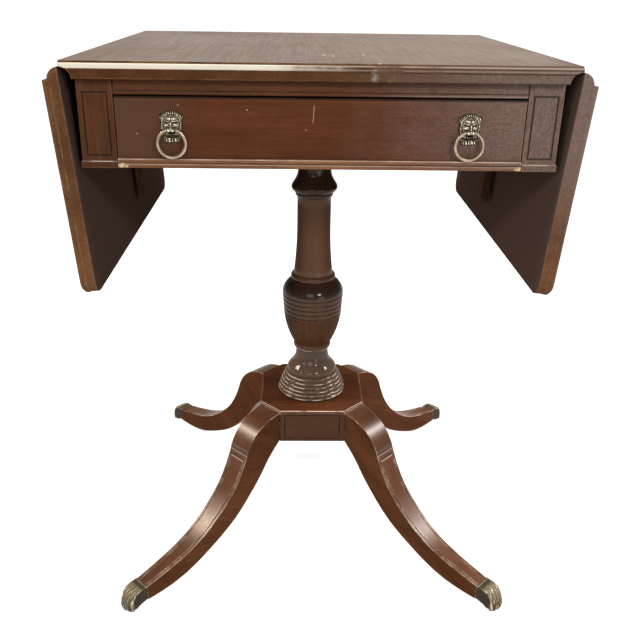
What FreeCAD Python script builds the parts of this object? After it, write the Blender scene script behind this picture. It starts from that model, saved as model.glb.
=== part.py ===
import FreeCAD, Part
import math
import os

from FreeCAD import Vector

# Drop-leaf side table: a square top with one drawer, two hanging leaves, a turned column and four sabre legs.
# Millimetres. Origin on the floor under the column, +X to the right, the drawer faces -Y, +Z up.
# Paired pieces are made for the right-hand side and mirrored to the left.

# Table top and leaves
TABLE_HEIGHT = 751.0
TOP_WIDTH = 563.0
TOP_DEPTH = 522.0
TOP_THICKNESS = 19.0
LIP_THICKNESS = 6.0
LEAF_LENGTH = 251.0
LEAF_TILT = 4.2
LEAF_CORNER_RADIUS = 20.0
RULE_CLEARANCE = 0.4

# Moulded edge shared by the top and the leaves
EDGE_FILLET_HEIGHT = 2.0
EDGE_FILLET_INSET = 2.6
EDGE_BEAD_HEIGHT = 6.2
EDGE_BEAD_PROUD = 0.8
EDGE_BEAD_ROUND = 1.6
EDGE_BEVEL = 1.0

# Case under the top
TOP_OVERHANG = 13.0
TOP_SIDE_OVERHANG = 13.5
APRON_HEIGHT = 98.0
APRON_THICKNESS = 19.0
APRON_SETBACK = 6.0
BACK_APRON_SETBACK = 2.0
POST_WIDTH = 39.0
POST_DEPTH = 38.0
PLINTH_HEIGHT = 8.0
PLINTH_PROUD = 1.6
PANEL_INSET = 5.5
PANEL_TOP_DROP = 14.0
PANEL_LINE = 1.3
PANEL_DEPTH = 1.0
RAIL_HEIGHT = 17.0
RAIL_THICKNESS = 20.0
RAIL_SETBACK = 1.0
RAIL_BEAD_RADIUS = 2.0
TENON_LENGTH = 14.0
TENON_THICKNESS = 8.0
TENON_SHOULDER = 8.0
JOINT_CLEARANCE = 0.1
KICKER_WIDTH = 28.0
RUNNER_THICKNESS = 8.0
GUIDE_HEIGHT = 14.0
STOP_LENGTH = 15.0
STOP_HEIGHT = 12.0
BEARER_THICKNESS = 21.0
BEARER_DEPTH = 220.0
BEARER_HOUSING = 6.0

# Drawer
DRAWER_SETBACK = 1.0
DRAWER_SIDE_GAP = 1.0
DRAWER_TOP_GAP = 2.2
DRAWER_BOTTOM_GAP = 0.4
DRAWER_RUNNING_GAP = 0.2
DRAWER_FRONT_THICKNESS = 20.0
DRAWER_SIDE_THICKNESS = 11.0
DRAWER_BACK_ROOM = 71.0
DRAWER_TOP_DROP = 1.5
DRAWER_BACK_DROP = 5.0
DRAWER_LAP = 8.0
DRAWER_PANEL_THICKNESS = 5.0
DRAWER_PANEL_RISE = 5.0
DRAWER_PANEL_GROOVE = 4.0
MOULDING_HEIGHT = 11.0
MOULDING_PROUD = 4.5
MOULDING_BASE = 2.0

# Ring pulls
PULL_INSET = 62.0
PULL_DROP = 54.0
PULL_STANDOFF = 8.2
RING_OUTER_RADIUS = 17.4
RING_WIRE_RADIUS = 1.95
RING_BAR_LENGTH = 10.6
RING_BAR_RADIUS = 1.5
RING_BAR_CLEARANCE = 0.06
RING_SIDE_CLEARANCE = 0.5
MASK_HALF_WIDTH = 12.6
MASK_RISE = 19.6
MASK_DROP = 10.5
MASK_PLATE = 4.0
BEARD_HALF_WIDTH = 9.0
BEARD_DROP = 13.3
FACE_RADIUS = 9.0
FACE_RISE = 9.6
EAR_RADIUS = 3.2
EAR_RISE = 14.6
EAR_REACH = 11.6
MUZZLE_RADIUS = 4.6
MUZZLE_REACH = 12.2
BROW_RADIUS = 2.6
PULL_BOLT_RADIUS = 2.0
PULL_BOLT_GRIP = 3.0
PULL_BOLT_HEAD_RADIUS = 4.5
PULL_BOLT_HEAD = 3.0

# Turned column
PLATFORM_TOP = 216.5
COLUMN_FOOT_RADIUS = 54.3
COLUMN_FOOT_TOP_RADIUS = 40.5
COLUMN_FOOT_HEIGHT = 34.0
COLUMN_FOOT_BEADS = 6
COLUMN_FOOT_BULGE = 1.9
COLUMN_FOOT_POWER = 1.4
BELL_HEIGHT = 37.5
NECK_RADIUS = 25.4
NECK_RING_RADIUS = 29.4
NECK_RING_HEIGHT = 9.0
NECK_RING_STEP = 2.0
VASE_FOOT_STEP = 1.2
VASE_RADIUS = 47.0
VASE_HEIGHT = 84.5
VASE_LINES = 5
VASE_LINE_PITCH = 7.5
VASE_LINE_DEPTH = 0.9
VASE_LINE_HALF = 1.1
VASE_LINE_MARGIN = 2.0
VASE_LINE_TAPER = 0.5
SHOULDER_HEIGHT = 23.0
SHAFT_RING_RADIUS = 34.3
SHAFT_RING_HEIGHT = 9.5
SHAFT_RING_STEP = 1.5
SHAFT_FLARE_RADIUS = 29.8
SHAFT_FLARE_HEIGHT = 75.0
SHAFT_RADIUS = 25.2
COLLAR_RADIUS = 34.3
COLLAR_DROP = 81.5
COLLAR_FALL = 19.0
COLLAR_RISE = 28.0
UPPER_NECK_RADIUS = 24.5
CAPITAL_RADIUS = 35.0
CAPITAL_HEIGHT = 11.0
CAPITAL_STEP = 2.0
TOP_TENON_RADIUS = 16.0
FOOT_TENON_RADIUS = 18.0
FOOT_TENON_LENGTH = 34.0
COLUMN_BOLT_RADIUS = 5.0
COLUMN_BOLT_LENGTH = 75.0
BOLT_HEAD_RADIUS = 7.5
BOLT_HEAD_HEIGHT = 7.0
BOLT_FLANGE_RADIUS = 11.0
BOLT_FLANGE = 2.0
BOLT_RECESS_RADIUS = 14.0
BOLT_RECESS = 10.0

# Column curves, as fractions of the way from one radius and height to the next
VASE_CURVE = [(0.20, 0.08), (0.39, 0.17), (0.585, 0.29), (0.755, 0.43), (0.87, 0.585)]
BELL_CURVE = [(-0.07, 0.12), (0.079, 0.253), (0.331, 0.36), (0.59, 0.467),
              (0.772, 0.573), (0.913, 0.707), (1.0, 1.0)]
SHOULDER_CURVE = [(0.098, 0.37), (0.336, 0.63), (0.664, 0.848), (1.0, 1.0)]
COLLAR_BEAD_FOOT = [(0.033, 0.158), (0.174, 0.316)]
COLLAR_BEAD_ROUND = [(0.326, 0.447), (0.261, 0.579)]
COLLAR_UNDER_CURVE = [(0.859, 0.816), (1.0, 1.0)]
COLLAR_OVER_CURVE = [(0.107, 0.143), (0.491, 0.357), (0.893, 0.679), (1.0, 1.0)]
CAPITAL_CURVE = [(0.151, 0.381), (0.623, 0.81), (1.0, 1.0)]

# Platform between the legs
PLATFORM_HALF = 82.0
PLATFORM_FLAT = 49.5
PLATFORM_THICKNESS = 53.0
PLATFORM_REED = 2.2
PLATFORM_REED_INSET = 1.3
PLATFORM_FRAME_SIDE = 6.0
PLATFORM_FRAME_BOTTOM = 4.5
PLATFORM_FRAME_TOP = 2.0

# Legs, drawn with r outward from the column and z up; the curves are fractions of the reach and rise
LEG_ROOT_WIDTH = 42.0
LEG_TOE_WIDTH = 25.0
LEG_TOE_REACH = 347.5
LEG_TOE_TOP = 30.0
LEG_TOE_BOTTOM = 7.0
LEG_KNEE_CURVE = [(0.0932, 0.9769), (0.1651, 0.9326), (0.2155, 0.8747), (0.2506, 0.8071)]
LEG_SHIN_CURVE = [(0.2680, 0.7528), (0.3121, 0.6381), (0.3695, 0.5300), (0.4528, 0.4242),
                  (0.5531, 0.3275), (0.6717, 0.2480), (0.8249, 0.1886)]
LEG_CALF_CURVE = [(0.8711, 0.0367), (0.7823, 0.0518), (0.6696, 0.0924), (0.5490, 0.1593),
                  (0.4252, 0.2428), (0.2995, 0.3612), (0.2252, 0.4545)]
LEG_HOLLOW_CURVE = [(0.1562, 0.5497), (0.0909, 0.6578), (0.0413, 0.7232)]
LEG_BEAD_RADIUS = 2.2
LEG_GROOVE_INSET = 4.5
LEG_GROOVE_WIDTH = 1.4
LEG_GROOVE_DEPTH = 0.9
LEG_DOWEL_RADIUS = 5.0
LEG_DOWEL_LENGTH = 36.0
LEG_DOWEL_SPACING = 20.0

# Brass paw caps
CAP_WIDTH = 26.0
CAP_LENGTH = 35.0
CAP_HEIGHT = 32.0
CAP_COLLAR_DROP = 1.0
CAP_TENON_LENGTH = 19.0
CAP_TENON_WIDTH = 18.0
CAP_TENON_TOP = 26.0
CAP_TENON_BOTTOM = 14.0
CAP_CLEARANCE = 0.15
CAP_TOES = 4
CAP_TOE_GROOVE = 1.3
CAP_TOE_DEPTH = 1.6
CAP_TOE_ROUND = 12.5
CAP_SOLE_BEVEL = 4.5
CAP_SOLE_START = 24.0
CAP_FRONT_CURVE = [(0.15, 1.0), (0.38, 0.98), (0.60, 0.88), (0.79, 0.70),
                   (0.93, 0.48), (1.0, 0.28), (0.97, 0.10), (0.86, 0.0)]
CAP_SCREW_SETBACK = 10.0
CAP_SCREW_HEAD_HEIGHT = 6.5
CAP_SCREW_LENGTH = 14.0

# Table hinges
HINGE_INSET = 89.5
HINGE_WIDTH = 40.0
HINGE_PLATE = 2.0
HINGE_KNUCKLE_RADIUS = 3.5
HINGE_PIN_RADIUS = 1.5
HINGE_PIN_CLEARANCE = 0.06
HINGE_GAP = 0.4
HINGE_SWING_CLEARANCE = 0.8
HINGE_LEAF_KNUCKLE = 15.0
HINGE_TOP_REACH = 62.0
HINGE_LEAF_REACH = 60.0
HINGE_SCREW_NEAR = 30.0
HINGE_SCREW_FAR = 50.0

# Swinging leaf stays
STAY_Y = 20.0
STAY_DROP = 70.0
STAY_LENGTH = 133.0
STAY_WIDTH = 26.0
STAY_THICKNESS = 4.0
STAY_KNUCKLE_RADIUS = 4.0
STAY_PIN_RADIUS = 2.0
STAY_PIN_CLEARANCE = 0.06
STAY_GAP = 0.4
STAY_EAR = 9.0
STAY_PLATE = 2.0
STAY_PLATE_ABOVE = 20.0
STAY_PLATE_BELOW = 15.0

# Wood screws
SCREW_HEAD_RADIUS = 3.2
SCREW_SHANK_RADIUS = 1.6
SCREW_HEAD_HEIGHT = 1.6
SCREW_LENGTH = 13.0
TOP_SCREW_BITE = 11.0

# Levels and faces that several pieces share
UNDERSIDE = TABLE_HEIGHT - TOP_THICKNESS
APRON_BOTTOM = UNDERSIDE - APRON_HEIGHT
COVE_RADIUS = TOP_THICKNESS - LIP_THICKNESS
AXIS_X = TOP_WIDTH / 2
HALF_DEPTH = TOP_DEPTH / 2
CASE_X = AXIS_X - TOP_SIDE_OVERHANG
CASE_Y = HALF_DEPTH - TOP_OVERHANG
OPENING_X = CASE_X - POST_WIDTH
SPAN_Y = CASE_Y - POST_DEPTH
APRON_OUT = CASE_X - APRON_SETBACK
APRON_IN = APRON_OUT - APRON_THICKNESS
BEARER_TOP = APRON_BOTTOM + BEARER_THICKNESS
RUNNER_TOP = BEARER_TOP + RUNNER_THICKNESS
RAIL_BOTTOM = UNDERSIDE - RAIL_HEIGHT
KICKER_IN = APRON_IN - KICKER_WIDTH
DRAWER_FACE = -CASE_Y + DRAWER_SETBACK
DRAWER_X = OPENING_X - DRAWER_SIDE_GAP
DRAWER_FRONT_TOP = RAIL_BOTTOM - DRAWER_TOP_GAP
DRAWER_FRONT_BOTTOM = APRON_BOTTOM + DRAWER_BOTTOM_GAP
DRAWER_BOX_BOTTOM = RUNNER_TOP + DRAWER_RUNNING_GAP
DRAWER_BOX_TOP = DRAWER_FRONT_TOP - DRAWER_TOP_DROP
DRAWER_END = CASE_Y - BACK_APRON_SETBACK - APRON_THICKNESS - DRAWER_BACK_ROOM
KICKER_BOTTOM = DRAWER_FRONT_TOP
PULL_X = DRAWER_X - PULL_INSET
PULL_HEIGHT = UNDERSIDE - PULL_DROP
PLATFORM_BOTTOM = PLATFORM_TOP - PLATFORM_THICKNESS
PLATFORM_BODY_TOP = PLATFORM_TOP - 2 * PLATFORM_REED
CANT_REACH = (PLATFORM_HALF + PLATFORM_FLAT) / math.sqrt(2)
STAY_X = APRON_OUT + STAY_PLATE + STAY_KNUCKLE_RADIUS + STAY_GAP
STAY_Z = UNDERSIDE - STAY_DROP
HINGE_HALF = HINGE_WIDTH / 2
LEG_ANGLES = {"front_right": -45.0, "back_right": 45.0, "back_left": 135.0, "front_left": -135.0}

UP = Vector(0, 0, 1)
ALONG_X = Vector(1, 0, 0)
ALONG_Y = Vector(0, 1, 0)


def box(x0, x1, y0, y1, z0, z1):
    """Block between two corners."""
    return Part.makeBox(x1 - x0, y1 - y0, z1 - z0, Vector(x0, y0, z0))


def rod_x(radius, x0, x1, y, z):
    """Round bar along X."""
    return Part.makeCylinder(radius, x1 - x0, Vector(x0, y, z), ALONG_X)


def rod_y(radius, y0, y1, x, z):
    """Round bar along Y."""
    return Part.makeCylinder(radius, y1 - y0, Vector(x, y0, z), ALONG_Y)


def rod_z(radius, z0, z1, x, y):
    """Round bar along Z."""
    return Part.makeCylinder(radius, z1 - z0, Vector(x, y, z0), UP)


def joined(pieces):
    """One solid from overlapping or touching pieces."""
    return pieces[0].fuse(pieces[1:]).removeSplitter()


def less(body, tools):
    """Body with every tool cut away."""
    return body.cut(tools) if tools else body


def mirrored(shape):
    """The left-hand copy of a right-hand piece."""
    return shape.mirror(Vector(0, 0, 0), ALONG_X)


def turned_about(shape, point, axis, degrees):
    """Copy of a shape turned about an axis through a point."""
    copy = shape.copy()
    copy.rotate(point, axis, degrees)
    return copy


def line(a, b):
    """Straight edge between two points."""
    return Part.LineSegment(a, b).toShape()


def arc(a, b, c):
    """Circular edge from a through b to c."""
    return Part.Arc(a, b, c).toShape()


def curve(points):
    """Smooth edge through points."""
    spline = Part.BSplineCurve()
    spline.interpolate(points)
    return spline.toShape()


def face_of(edges):
    """Flat face inside a closed chain of edges."""
    return Part.Face(Part.Wire(Part.__sortEdges__(edges)))


def screw(point, direction, length):
    """Countersunk wood screw whose head is flush at the point and which runs along the direction."""
    head = Part.makeCone(SCREW_HEAD_RADIUS, SCREW_SHANK_RADIUS, SCREW_HEAD_HEIGHT, point, direction)
    shank_start = point + direction * SCREW_HEAD_HEIGHT
    shank = Part.makeCylinder(SCREW_SHANK_RADIUS, length - SCREW_HEAD_HEIGHT, shank_start, direction)
    return head.fuse(shank)


# Top and leaves

def moulded_panel(outline, is_moulded):
    """Panel whose moulded edges show a flat band, a rounded bead and a small fillet, going up."""
    bead_low = TOP_THICKNESS - EDGE_FILLET_HEIGHT - EDGE_BEAD_HEIGHT
    bead_high = TOP_THICKNESS - EDGE_FILLET_HEIGHT
    band = outline(EDGE_BEAD_PROUD).extrude(UP * (bead_low + EDGE_BEAD_ROUND))
    low_edges = [e for e in band.Edges if e.BoundBox.ZMax < 1e-6 and is_moulded(e)]
    band = band.makeChamfer(EDGE_BEVEL, low_edges)
    bead = outline(0.0).extrude(UP * EDGE_BEAD_HEIGHT)
    level_edges = [e for e in bead.Edges if e.BoundBox.ZLength < 1e-6 and is_moulded(e)]
    bead = bead.makeFillet(EDGE_BEAD_ROUND, level_edges)
    bead.translate(UP * bead_low)
    cap = outline(EDGE_FILLET_INSET).extrude(UP * EDGE_FILLET_HEIGHT)
    cap.translate(UP * bead_high)
    return joined([band, bead, cap])


def top_outline(inset):
    """Rectangle of the top, drawn in at the front and back."""
    y = HALF_DEPTH - inset
    corners = [Vector(-AXIS_X, -y, 0), Vector(AXIS_X, -y, 0), Vector(AXIS_X, y, 0), Vector(-AXIS_X, y, 0)]
    return Part.Face(Part.makePolygon(corners + corners[:1]))


def leaf_outline(inset):
    """Leaf seen from above when raised: x from the hinge axis, with the two free corners rounded."""
    x0 = -COVE_RADIUS
    x1 = LEAF_LENGTH - inset
    y = HALF_DEPTH - inset
    r = LEAF_CORNER_RADIUS - inset
    q = r * (1 - math.sqrt(0.5))
    edges = [line(Vector(x0, -y, 0), Vector(x1 - r, -y, 0))]
    edges.append(arc(Vector(x1 - r, -y, 0), Vector(x1 - q, -y + q, 0), Vector(x1, -y + r, 0)))
    edges.append(line(Vector(x1, -y + r, 0), Vector(x1, y - r, 0)))
    edges.append(arc(Vector(x1, y - r, 0), Vector(x1 - q, y - q, 0), Vector(x1 - r, y, 0)))
    edges.append(line(Vector(x1 - r, y, 0), Vector(x0, y, 0)))
    edges.append(line(Vector(x0, y, 0), Vector(x0, -y, 0)))
    return face_of(edges)


def hinge_centres():
    """The two places along Y where each leaf is hinged."""
    return [HINGE_INSET - HALF_DEPTH, HALF_DEPTH - HINGE_INSET]


def top_screw_places():
    """Places along Y of the screws that hold the top to each kicker."""
    return [-SPAN_Y / 2, 0.0, SPAN_Y / 2]


def top_screw_solids():
    """Screws up through the kickers into the top, right-hand side."""
    x = (KICKER_IN + APRON_IN) / 2
    length = UNDERSIDE - KICKER_BOTTOM + TOP_SCREW_BITE
    return [screw(Vector(x, y, KICKER_BOTTOM), UP, length) for y in top_screw_places()]


def hinge_screw_solids(y):
    """Screws of one hinge plate on the top, right-hand side."""
    places = [(AXIS_X - reach, y + side * HINGE_WIDTH / 4) for reach, side in hinge_screw_pattern()]
    return [screw(Vector(x, yy, UNDERSIDE), UP, SCREW_LENGTH) for x, yy in places]


def hinge_screw_pattern():
    """Distance from the hinge axis and side of each screw in a plate."""
    return [(HINGE_SCREW_NEAR, -1), (HINGE_SCREW_FAR, 1)]


def make_top():
    """Top with a cove under each lip, let-in hinge plates and screw holes."""
    panel = moulded_panel(top_outline, lambda e: abs(e.CenterOfMass.y) > HALF_DEPTH - EDGE_FILLET_INSET)
    panel.translate(UP * UNDERSIDE)
    cuts = [rod_y(COVE_RADIUS, -TOP_DEPTH, TOP_DEPTH, AXIS_X, UNDERSIDE)]
    for y in hinge_centres():
        inner = AXIS_X - HINGE_TOP_REACH
        cuts.append(box(inner, AXIS_X, y - HINGE_HALF, y + HINGE_HALF, UNDERSIDE, UNDERSIDE + HINGE_PLATE))
        cuts += hinge_screw_solids(y)
    cuts += top_screw_solids()
    return less(panel, cuts + [mirrored(c) for c in cuts])


def hung(shape):
    """Right-hand leaf piece, drawn raised from the hinge axis and the underside, moved to where it hangs."""
    copy = shape.copy()
    copy.translate(Vector(AXIS_X, 0, UNDERSIDE))
    copy.rotate(Vector(AXIS_X, 0, UNDERSIDE), ALONG_Y, 90 + LEAF_TILT)
    return copy


def leaf_screw_solids():
    """Screws of the hinge plates on one raised leaf."""
    solids = []
    for y in hinge_centres():
        for reach, side in hinge_screw_pattern():
            solids.append(screw(Vector(reach - HINGE_PLATE, y + side * HINGE_WIDTH / 4, 0), UP, SCREW_LENGTH))
    return solids


def make_leaf():
    """Raised right-hand leaf: a rounded nose turns in the cove, and a ledge meets the lip."""
    panel = moulded_panel(leaf_outline, lambda e: e.CenterOfMass.x > -COVE_RADIUS + 0.01)
    nose = rod_y(COVE_RADIUS - RULE_CLEARANCE, -TOP_DEPTH, TOP_DEPTH, 0, 0)
    blade = box(RULE_CLEARANCE, LEAF_LENGTH, -TOP_DEPTH, TOP_DEPTH, 0, TOP_THICKNESS)
    leaf = panel.common(nose.fuse(blade)).removeSplitter()
    cuts = []
    for y in hinge_centres():
        low = y - HINGE_HALF - HINGE_GAP
        high = y + HINGE_HALF + HINGE_GAP
        cuts.append(rod_y(HINGE_KNUCKLE_RADIUS + HINGE_SWING_CLEARANCE, low, high, 0, 0))
        cuts.append(box(-COVE_RADIUS, 0, low, high, 0, HINGE_PLATE + HINGE_SWING_CLEARANCE))
        cuts.append(box(0, HINGE_LEAF_REACH, y - HINGE_HALF, y + HINGE_HALF, 0, HINGE_PLATE))
    return less(leaf, cuts + leaf_screw_solids())


# Hinges

def knuckle_cells(y):
    """Y spans of the two fixed knuckles and of the moving knuckle between them."""
    inner = HINGE_LEAF_KNUCKLE / 2
    fixed = [(y - HINGE_HALF, y - inner - HINGE_GAP), (y + inner + HINGE_GAP, y + HINGE_HALF)]
    return fixed, (y - inner, y + inner)


def make_hinge_top_plate(y):
    """Hinge plate let into the underside of the top, with two knuckles on the axis."""
    fixed, moving = knuckle_cells(y)
    plate = box(-HINGE_TOP_REACH, 0, y - HINGE_HALF, y + HINGE_HALF, 0, HINGE_PLATE)
    room = HINGE_KNUCKLE_RADIUS + HINGE_GAP
    plate = plate.cut(box(-room, room, moving[0] - HINGE_GAP, moving[1] + HINGE_GAP, -room, room))
    knuckles = [rod_y(HINGE_KNUCKLE_RADIUS, a, b, 0, 0) for a, b in fixed]
    hinge = joined([plate] + knuckles).cut(rod_y(HINGE_PIN_RADIUS, y - HINGE_WIDTH, y + HINGE_WIDTH, 0, 0))
    hinge.translate(Vector(AXIS_X, 0, UNDERSIDE))
    return less(hinge, hinge_screw_solids(y))


def make_hinge_leaf_plate(y):
    """Hinge plate let into a raised leaf's underside, with the knuckle that turns on the pin."""
    fixed, moving = knuckle_cells(y)
    plate = box(0, HINGE_LEAF_REACH, y - HINGE_HALF, y + HINGE_HALF, 0, HINGE_PLATE)
    room = HINGE_KNUCKLE_RADIUS + HINGE_GAP
    ends = [box(-room, room, a - HINGE_GAP, b + HINGE_GAP, -room, room) for a, b in fixed]
    hinge = joined([less(plate, ends), rod_y(HINGE_KNUCKLE_RADIUS, moving[0], moving[1], 0, 0)])
    bore = rod_y(HINGE_PIN_RADIUS + HINGE_PIN_CLEARANCE, y - HINGE_WIDTH, y + HINGE_WIDTH, 0, 0)
    return less(hinge, [bore] + leaf_screw_solids())


def make_hinge_pin(y):
    """Pin through one hinge's knuckles."""
    return rod_y(HINGE_PIN_RADIUS, y - HINGE_HALF, y + HINGE_HALF, AXIS_X, UNDERSIDE)


# Leaf stays

def stay_screw_solids():
    """Screws that hold the right-hand stay bracket to the apron."""
    x = APRON_OUT + STAY_PLATE
    z = STAY_Z + (STAY_KNUCKLE_RADIUS + STAY_PLATE_ABOVE) / 2
    step = STAY_WIDTH / 3
    return [screw(Vector(x, STAY_Y + side * step, z), ALONG_X * -1, SCREW_LENGTH) for side in (-1, 1)]


def make_stay_bracket():
    """Plate on the apron with two ears that carry the stay's pin."""
    half = STAY_WIDTH / 2 + STAY_GAP
    outer = half + STAY_EAR
    plate = box(APRON_OUT, APRON_OUT + STAY_PLATE, STAY_Y - outer, STAY_Y + outer,
                STAY_Z - STAY_PLATE_BELOW, STAY_Z + STAY_PLATE_ABOVE)
    pieces = [plate]
    for low, high in ((STAY_Y - outer, STAY_Y - half), (STAY_Y + half, STAY_Y + outer)):
        pieces.append(rod_y(STAY_KNUCKLE_RADIUS, low, high, STAY_X, STAY_Z))
        k = STAY_KNUCKLE_RADIUS
        pieces.append(box(APRON_OUT, STAY_X, low, high, STAY_Z - k, STAY_Z + k))
    pin_hole = rod_y(STAY_PIN_RADIUS, STAY_Y - outer, STAY_Y + outer, STAY_X, STAY_Z)
    return less(joined(pieces), [pin_hole] + stay_screw_solids())


def make_stay_arm():
    """Flat arm that hangs beside the leaf from its pin and ends in a rounded tip."""
    low = STAY_Y - STAY_WIDTH / 2
    high = STAY_Y + STAY_WIDTH / 2
    half = STAY_THICKNESS / 2
    tip_z = STAY_Z - STAY_LENGTH
    pieces = [rod_y(STAY_KNUCKLE_RADIUS, low, high, STAY_X, STAY_Z)]
    pieces.append(box(STAY_X - half, STAY_X + half, low, high, tip_z, STAY_Z))
    pieces.append(rod_y(half, low, high, STAY_X, tip_z))
    bore = rod_y(STAY_PIN_RADIUS + STAY_PIN_CLEARANCE, low, high, STAY_X, STAY_Z)
    arm = joined(pieces).cut(bore)
    return turned_about(arm, Vector(STAY_X, 0, STAY_Z), ALONG_Y, LEAF_TILT)


def make_stay_pin():
    """Pin through the bracket's ears and the arm."""
    outer = STAY_WIDTH / 2 + STAY_GAP + STAY_EAR
    return rod_y(STAY_PIN_RADIUS, STAY_Y - outer, STAY_Y + outer, STAY_X, STAY_Z)


# Case

def tenon_x(x0, x1, y_middle, z0, z1, slack=0.0):
    """Tenon that runs along X."""
    half = TENON_THICKNESS / 2 + slack
    return box(x0 - slack, x1 + slack, y_middle - half, y_middle + half, z0 - slack, z1 + slack)


def tenon_y(y0, y1, x_middle, slack=0.0):
    """Tenon of a side apron that runs along Y."""
    half = TENON_THICKNESS / 2 + slack
    low = APRON_BOTTOM + TENON_SHOULDER - slack
    high = UNDERSIDE - TENON_SHOULDER + slack
    return box(x_middle - half, x_middle + half, y0 - slack, y1 + slack, low, high)


def rail_tenon(slack=0.0):
    """Right-hand tenon of the front rail."""
    middle = -CASE_Y + RAIL_SETBACK + RAIL_THICKNESS / 2
    low = RAIL_BOTTOM + RAIL_HEIGHT / 3
    return tenon_x(OPENING_X, OPENING_X + TENON_LENGTH, middle, low, UNDERSIDE - slack, slack)


def back_tenon(slack=0.0):
    """Right-hand tenon of the back apron."""
    middle = CASE_Y - BACK_APRON_SETBACK - APRON_THICKNESS / 2
    low = APRON_BOTTOM + TENON_SHOULDER
    high = UNDERSIDE - TENON_SHOULDER
    return tenon_x(OPENING_X, OPENING_X + TENON_LENGTH, middle, low, high, slack)


def side_tenon(end, slack=0.0):
    """Tenon of the right-hand apron at the front (-1) or back (1)."""
    y0, y1 = sorted((end * SPAN_Y, end * (SPAN_Y + TENON_LENGTH)))
    return tenon_y(y0, y1, (APRON_IN + APRON_OUT) / 2, slack)


def panel_frame():
    """Incised rectangle on the face of the right-hand front post."""
    x0 = OPENING_X + PANEL_INSET
    x1 = CASE_X - PANEL_INSET
    z0 = APRON_BOTTOM + PLINTH_HEIGHT + PANEL_INSET
    z1 = UNDERSIDE - PANEL_TOP_DROP
    outer = box(x0, x1, -CASE_Y, -CASE_Y + PANEL_DEPTH, z0, z1)
    w = PANEL_LINE
    return outer.cut(box(x0 + w, x1 - w, -CASE_Y, -CASE_Y + PANEL_DEPTH, z0 + w, z1 - w))


def make_front_post():
    """Right-hand front post with its incised panel, plinth and mortises."""
    shaft = box(OPENING_X, CASE_X, -CASE_Y, -SPAN_Y, APRON_BOTTOM, UNDERSIDE)
    p = PLINTH_PROUD
    plinth = box(OPENING_X, CASE_X + p, -CASE_Y - p, -SPAN_Y, APRON_BOTTOM, APRON_BOTTOM + PLINTH_HEIGHT)
    ridge = [e for e in plinth.Edges if e.BoundBox.ZMin > APRON_BOTTOM + PLINTH_HEIGHT - 1e-6
             and (e.BoundBox.YMax < -CASE_Y or e.BoundBox.XMin > CASE_X)]
    plinth = plinth.makeChamfer(p * 0.8, ridge)
    cuts = [panel_frame(), rail_tenon(JOINT_CLEARANCE), side_tenon(-1, JOINT_CLEARANCE)]
    return less(joined([shaft, plinth]), cuts)


def make_back_post():
    """Right-hand back post with its mortises."""
    shaft = box(OPENING_X, CASE_X, SPAN_Y, CASE_Y, APRON_BOTTOM, UNDERSIDE)
    return less(shaft, [back_tenon(JOINT_CLEARANCE), side_tenon(1, JOINT_CLEARANCE)])


def make_rail():
    """Rail above the drawer with a bead along its lower edge."""
    face = -CASE_Y + RAIL_SETBACK
    bar = box(-OPENING_X, OPENING_X, face, face + RAIL_THICKNESS, RAIL_BOTTOM, UNDERSIDE)
    r = RAIL_BEAD_RADIUS
    bead = rod_x(r, -OPENING_X, OPENING_X, face + r / 3, RAIL_BOTTOM + r)
    tenon = rail_tenon()
    return joined([bar, bead, tenon, mirrored(tenon)])


def make_side_apron():
    """Right-hand apron, tenoned into both posts and housed for the bearer."""
    board = box(APRON_IN, APRON_OUT, -SPAN_Y, SPAN_Y, APRON_BOTTOM, UNDERSIDE)
    board = joined([board, side_tenon(-1), side_tenon(1)])
    return less(board, [bearer_board(JOINT_CLEARANCE)] + stay_screw_solids())


def make_back_apron():
    """Back apron, tenoned into the back posts."""
    face = CASE_Y - BACK_APRON_SETBACK
    board = box(-OPENING_X, OPENING_X, face - APRON_THICKNESS, face, APRON_BOTTOM, UNDERSIDE)
    tenon = back_tenon()
    return joined([board, tenon, mirrored(tenon)])


def bearer_board(slack=0.0):
    """Board that carries the top of the column, housed in the side aprons."""
    x = APRON_IN + BEARER_HOUSING + slack
    y = BEARER_DEPTH / 2 + slack
    return box(-x, x, -y, y, APRON_BOTTOM, BEARER_TOP + slack)


def make_bearer():
    """Bearer with the hole for the column's top tenon."""
    hole = rod_z(TOP_TENON_RADIUS + JOINT_CLEARANCE, APRON_BOTTOM, BEARER_TOP, 0, 0)
    return bearer_board().cut(hole)


def make_runner():
    """Right-hand runner: a ledge under the drawer side, a guide beside it and a stop at the back."""
    ledge = box(KICKER_IN, APRON_IN, -SPAN_Y, SPAN_Y, BEARER_TOP + JOINT_CLEARANCE, RUNNER_TOP)
    guide = box(OPENING_X, APRON_IN, -SPAN_Y, SPAN_Y, RUNNER_TOP, RUNNER_TOP + GUIDE_HEIGHT)
    stop_y = DRAWER_END + DRAWER_RUNNING_GAP
    stop = box(KICKER_IN, OPENING_X, stop_y, stop_y + STOP_LENGTH, RUNNER_TOP, RUNNER_TOP + STOP_HEIGHT)
    return joined([ledge, guide, stop])


def make_kicker():
    """Right-hand kicker, which keeps the open drawer level and carries the top's screws."""
    bar = box(KICKER_IN, APRON_IN, -SPAN_Y, SPAN_Y, KICKER_BOTTOM, UNDERSIDE)
    return less(bar, top_screw_solids())


# Drawer

def drawer_panel(slack=0.0):
    """Drawer bottom in its grooves."""
    inner = DRAWER_X - DRAWER_SIDE_THICKNESS
    x = inner + DRAWER_PANEL_GROOVE - JOINT_CLEARANCE + slack
    front = DRAWER_FACE + DRAWER_FRONT_THICKNESS - DRAWER_PANEL_GROOVE + JOINT_CLEARANCE - slack
    low = DRAWER_BOX_BOTTOM + DRAWER_PANEL_RISE
    return box(-x, x, front, DRAWER_END, low - slack, low + DRAWER_PANEL_THICKNESS + slack)


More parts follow.
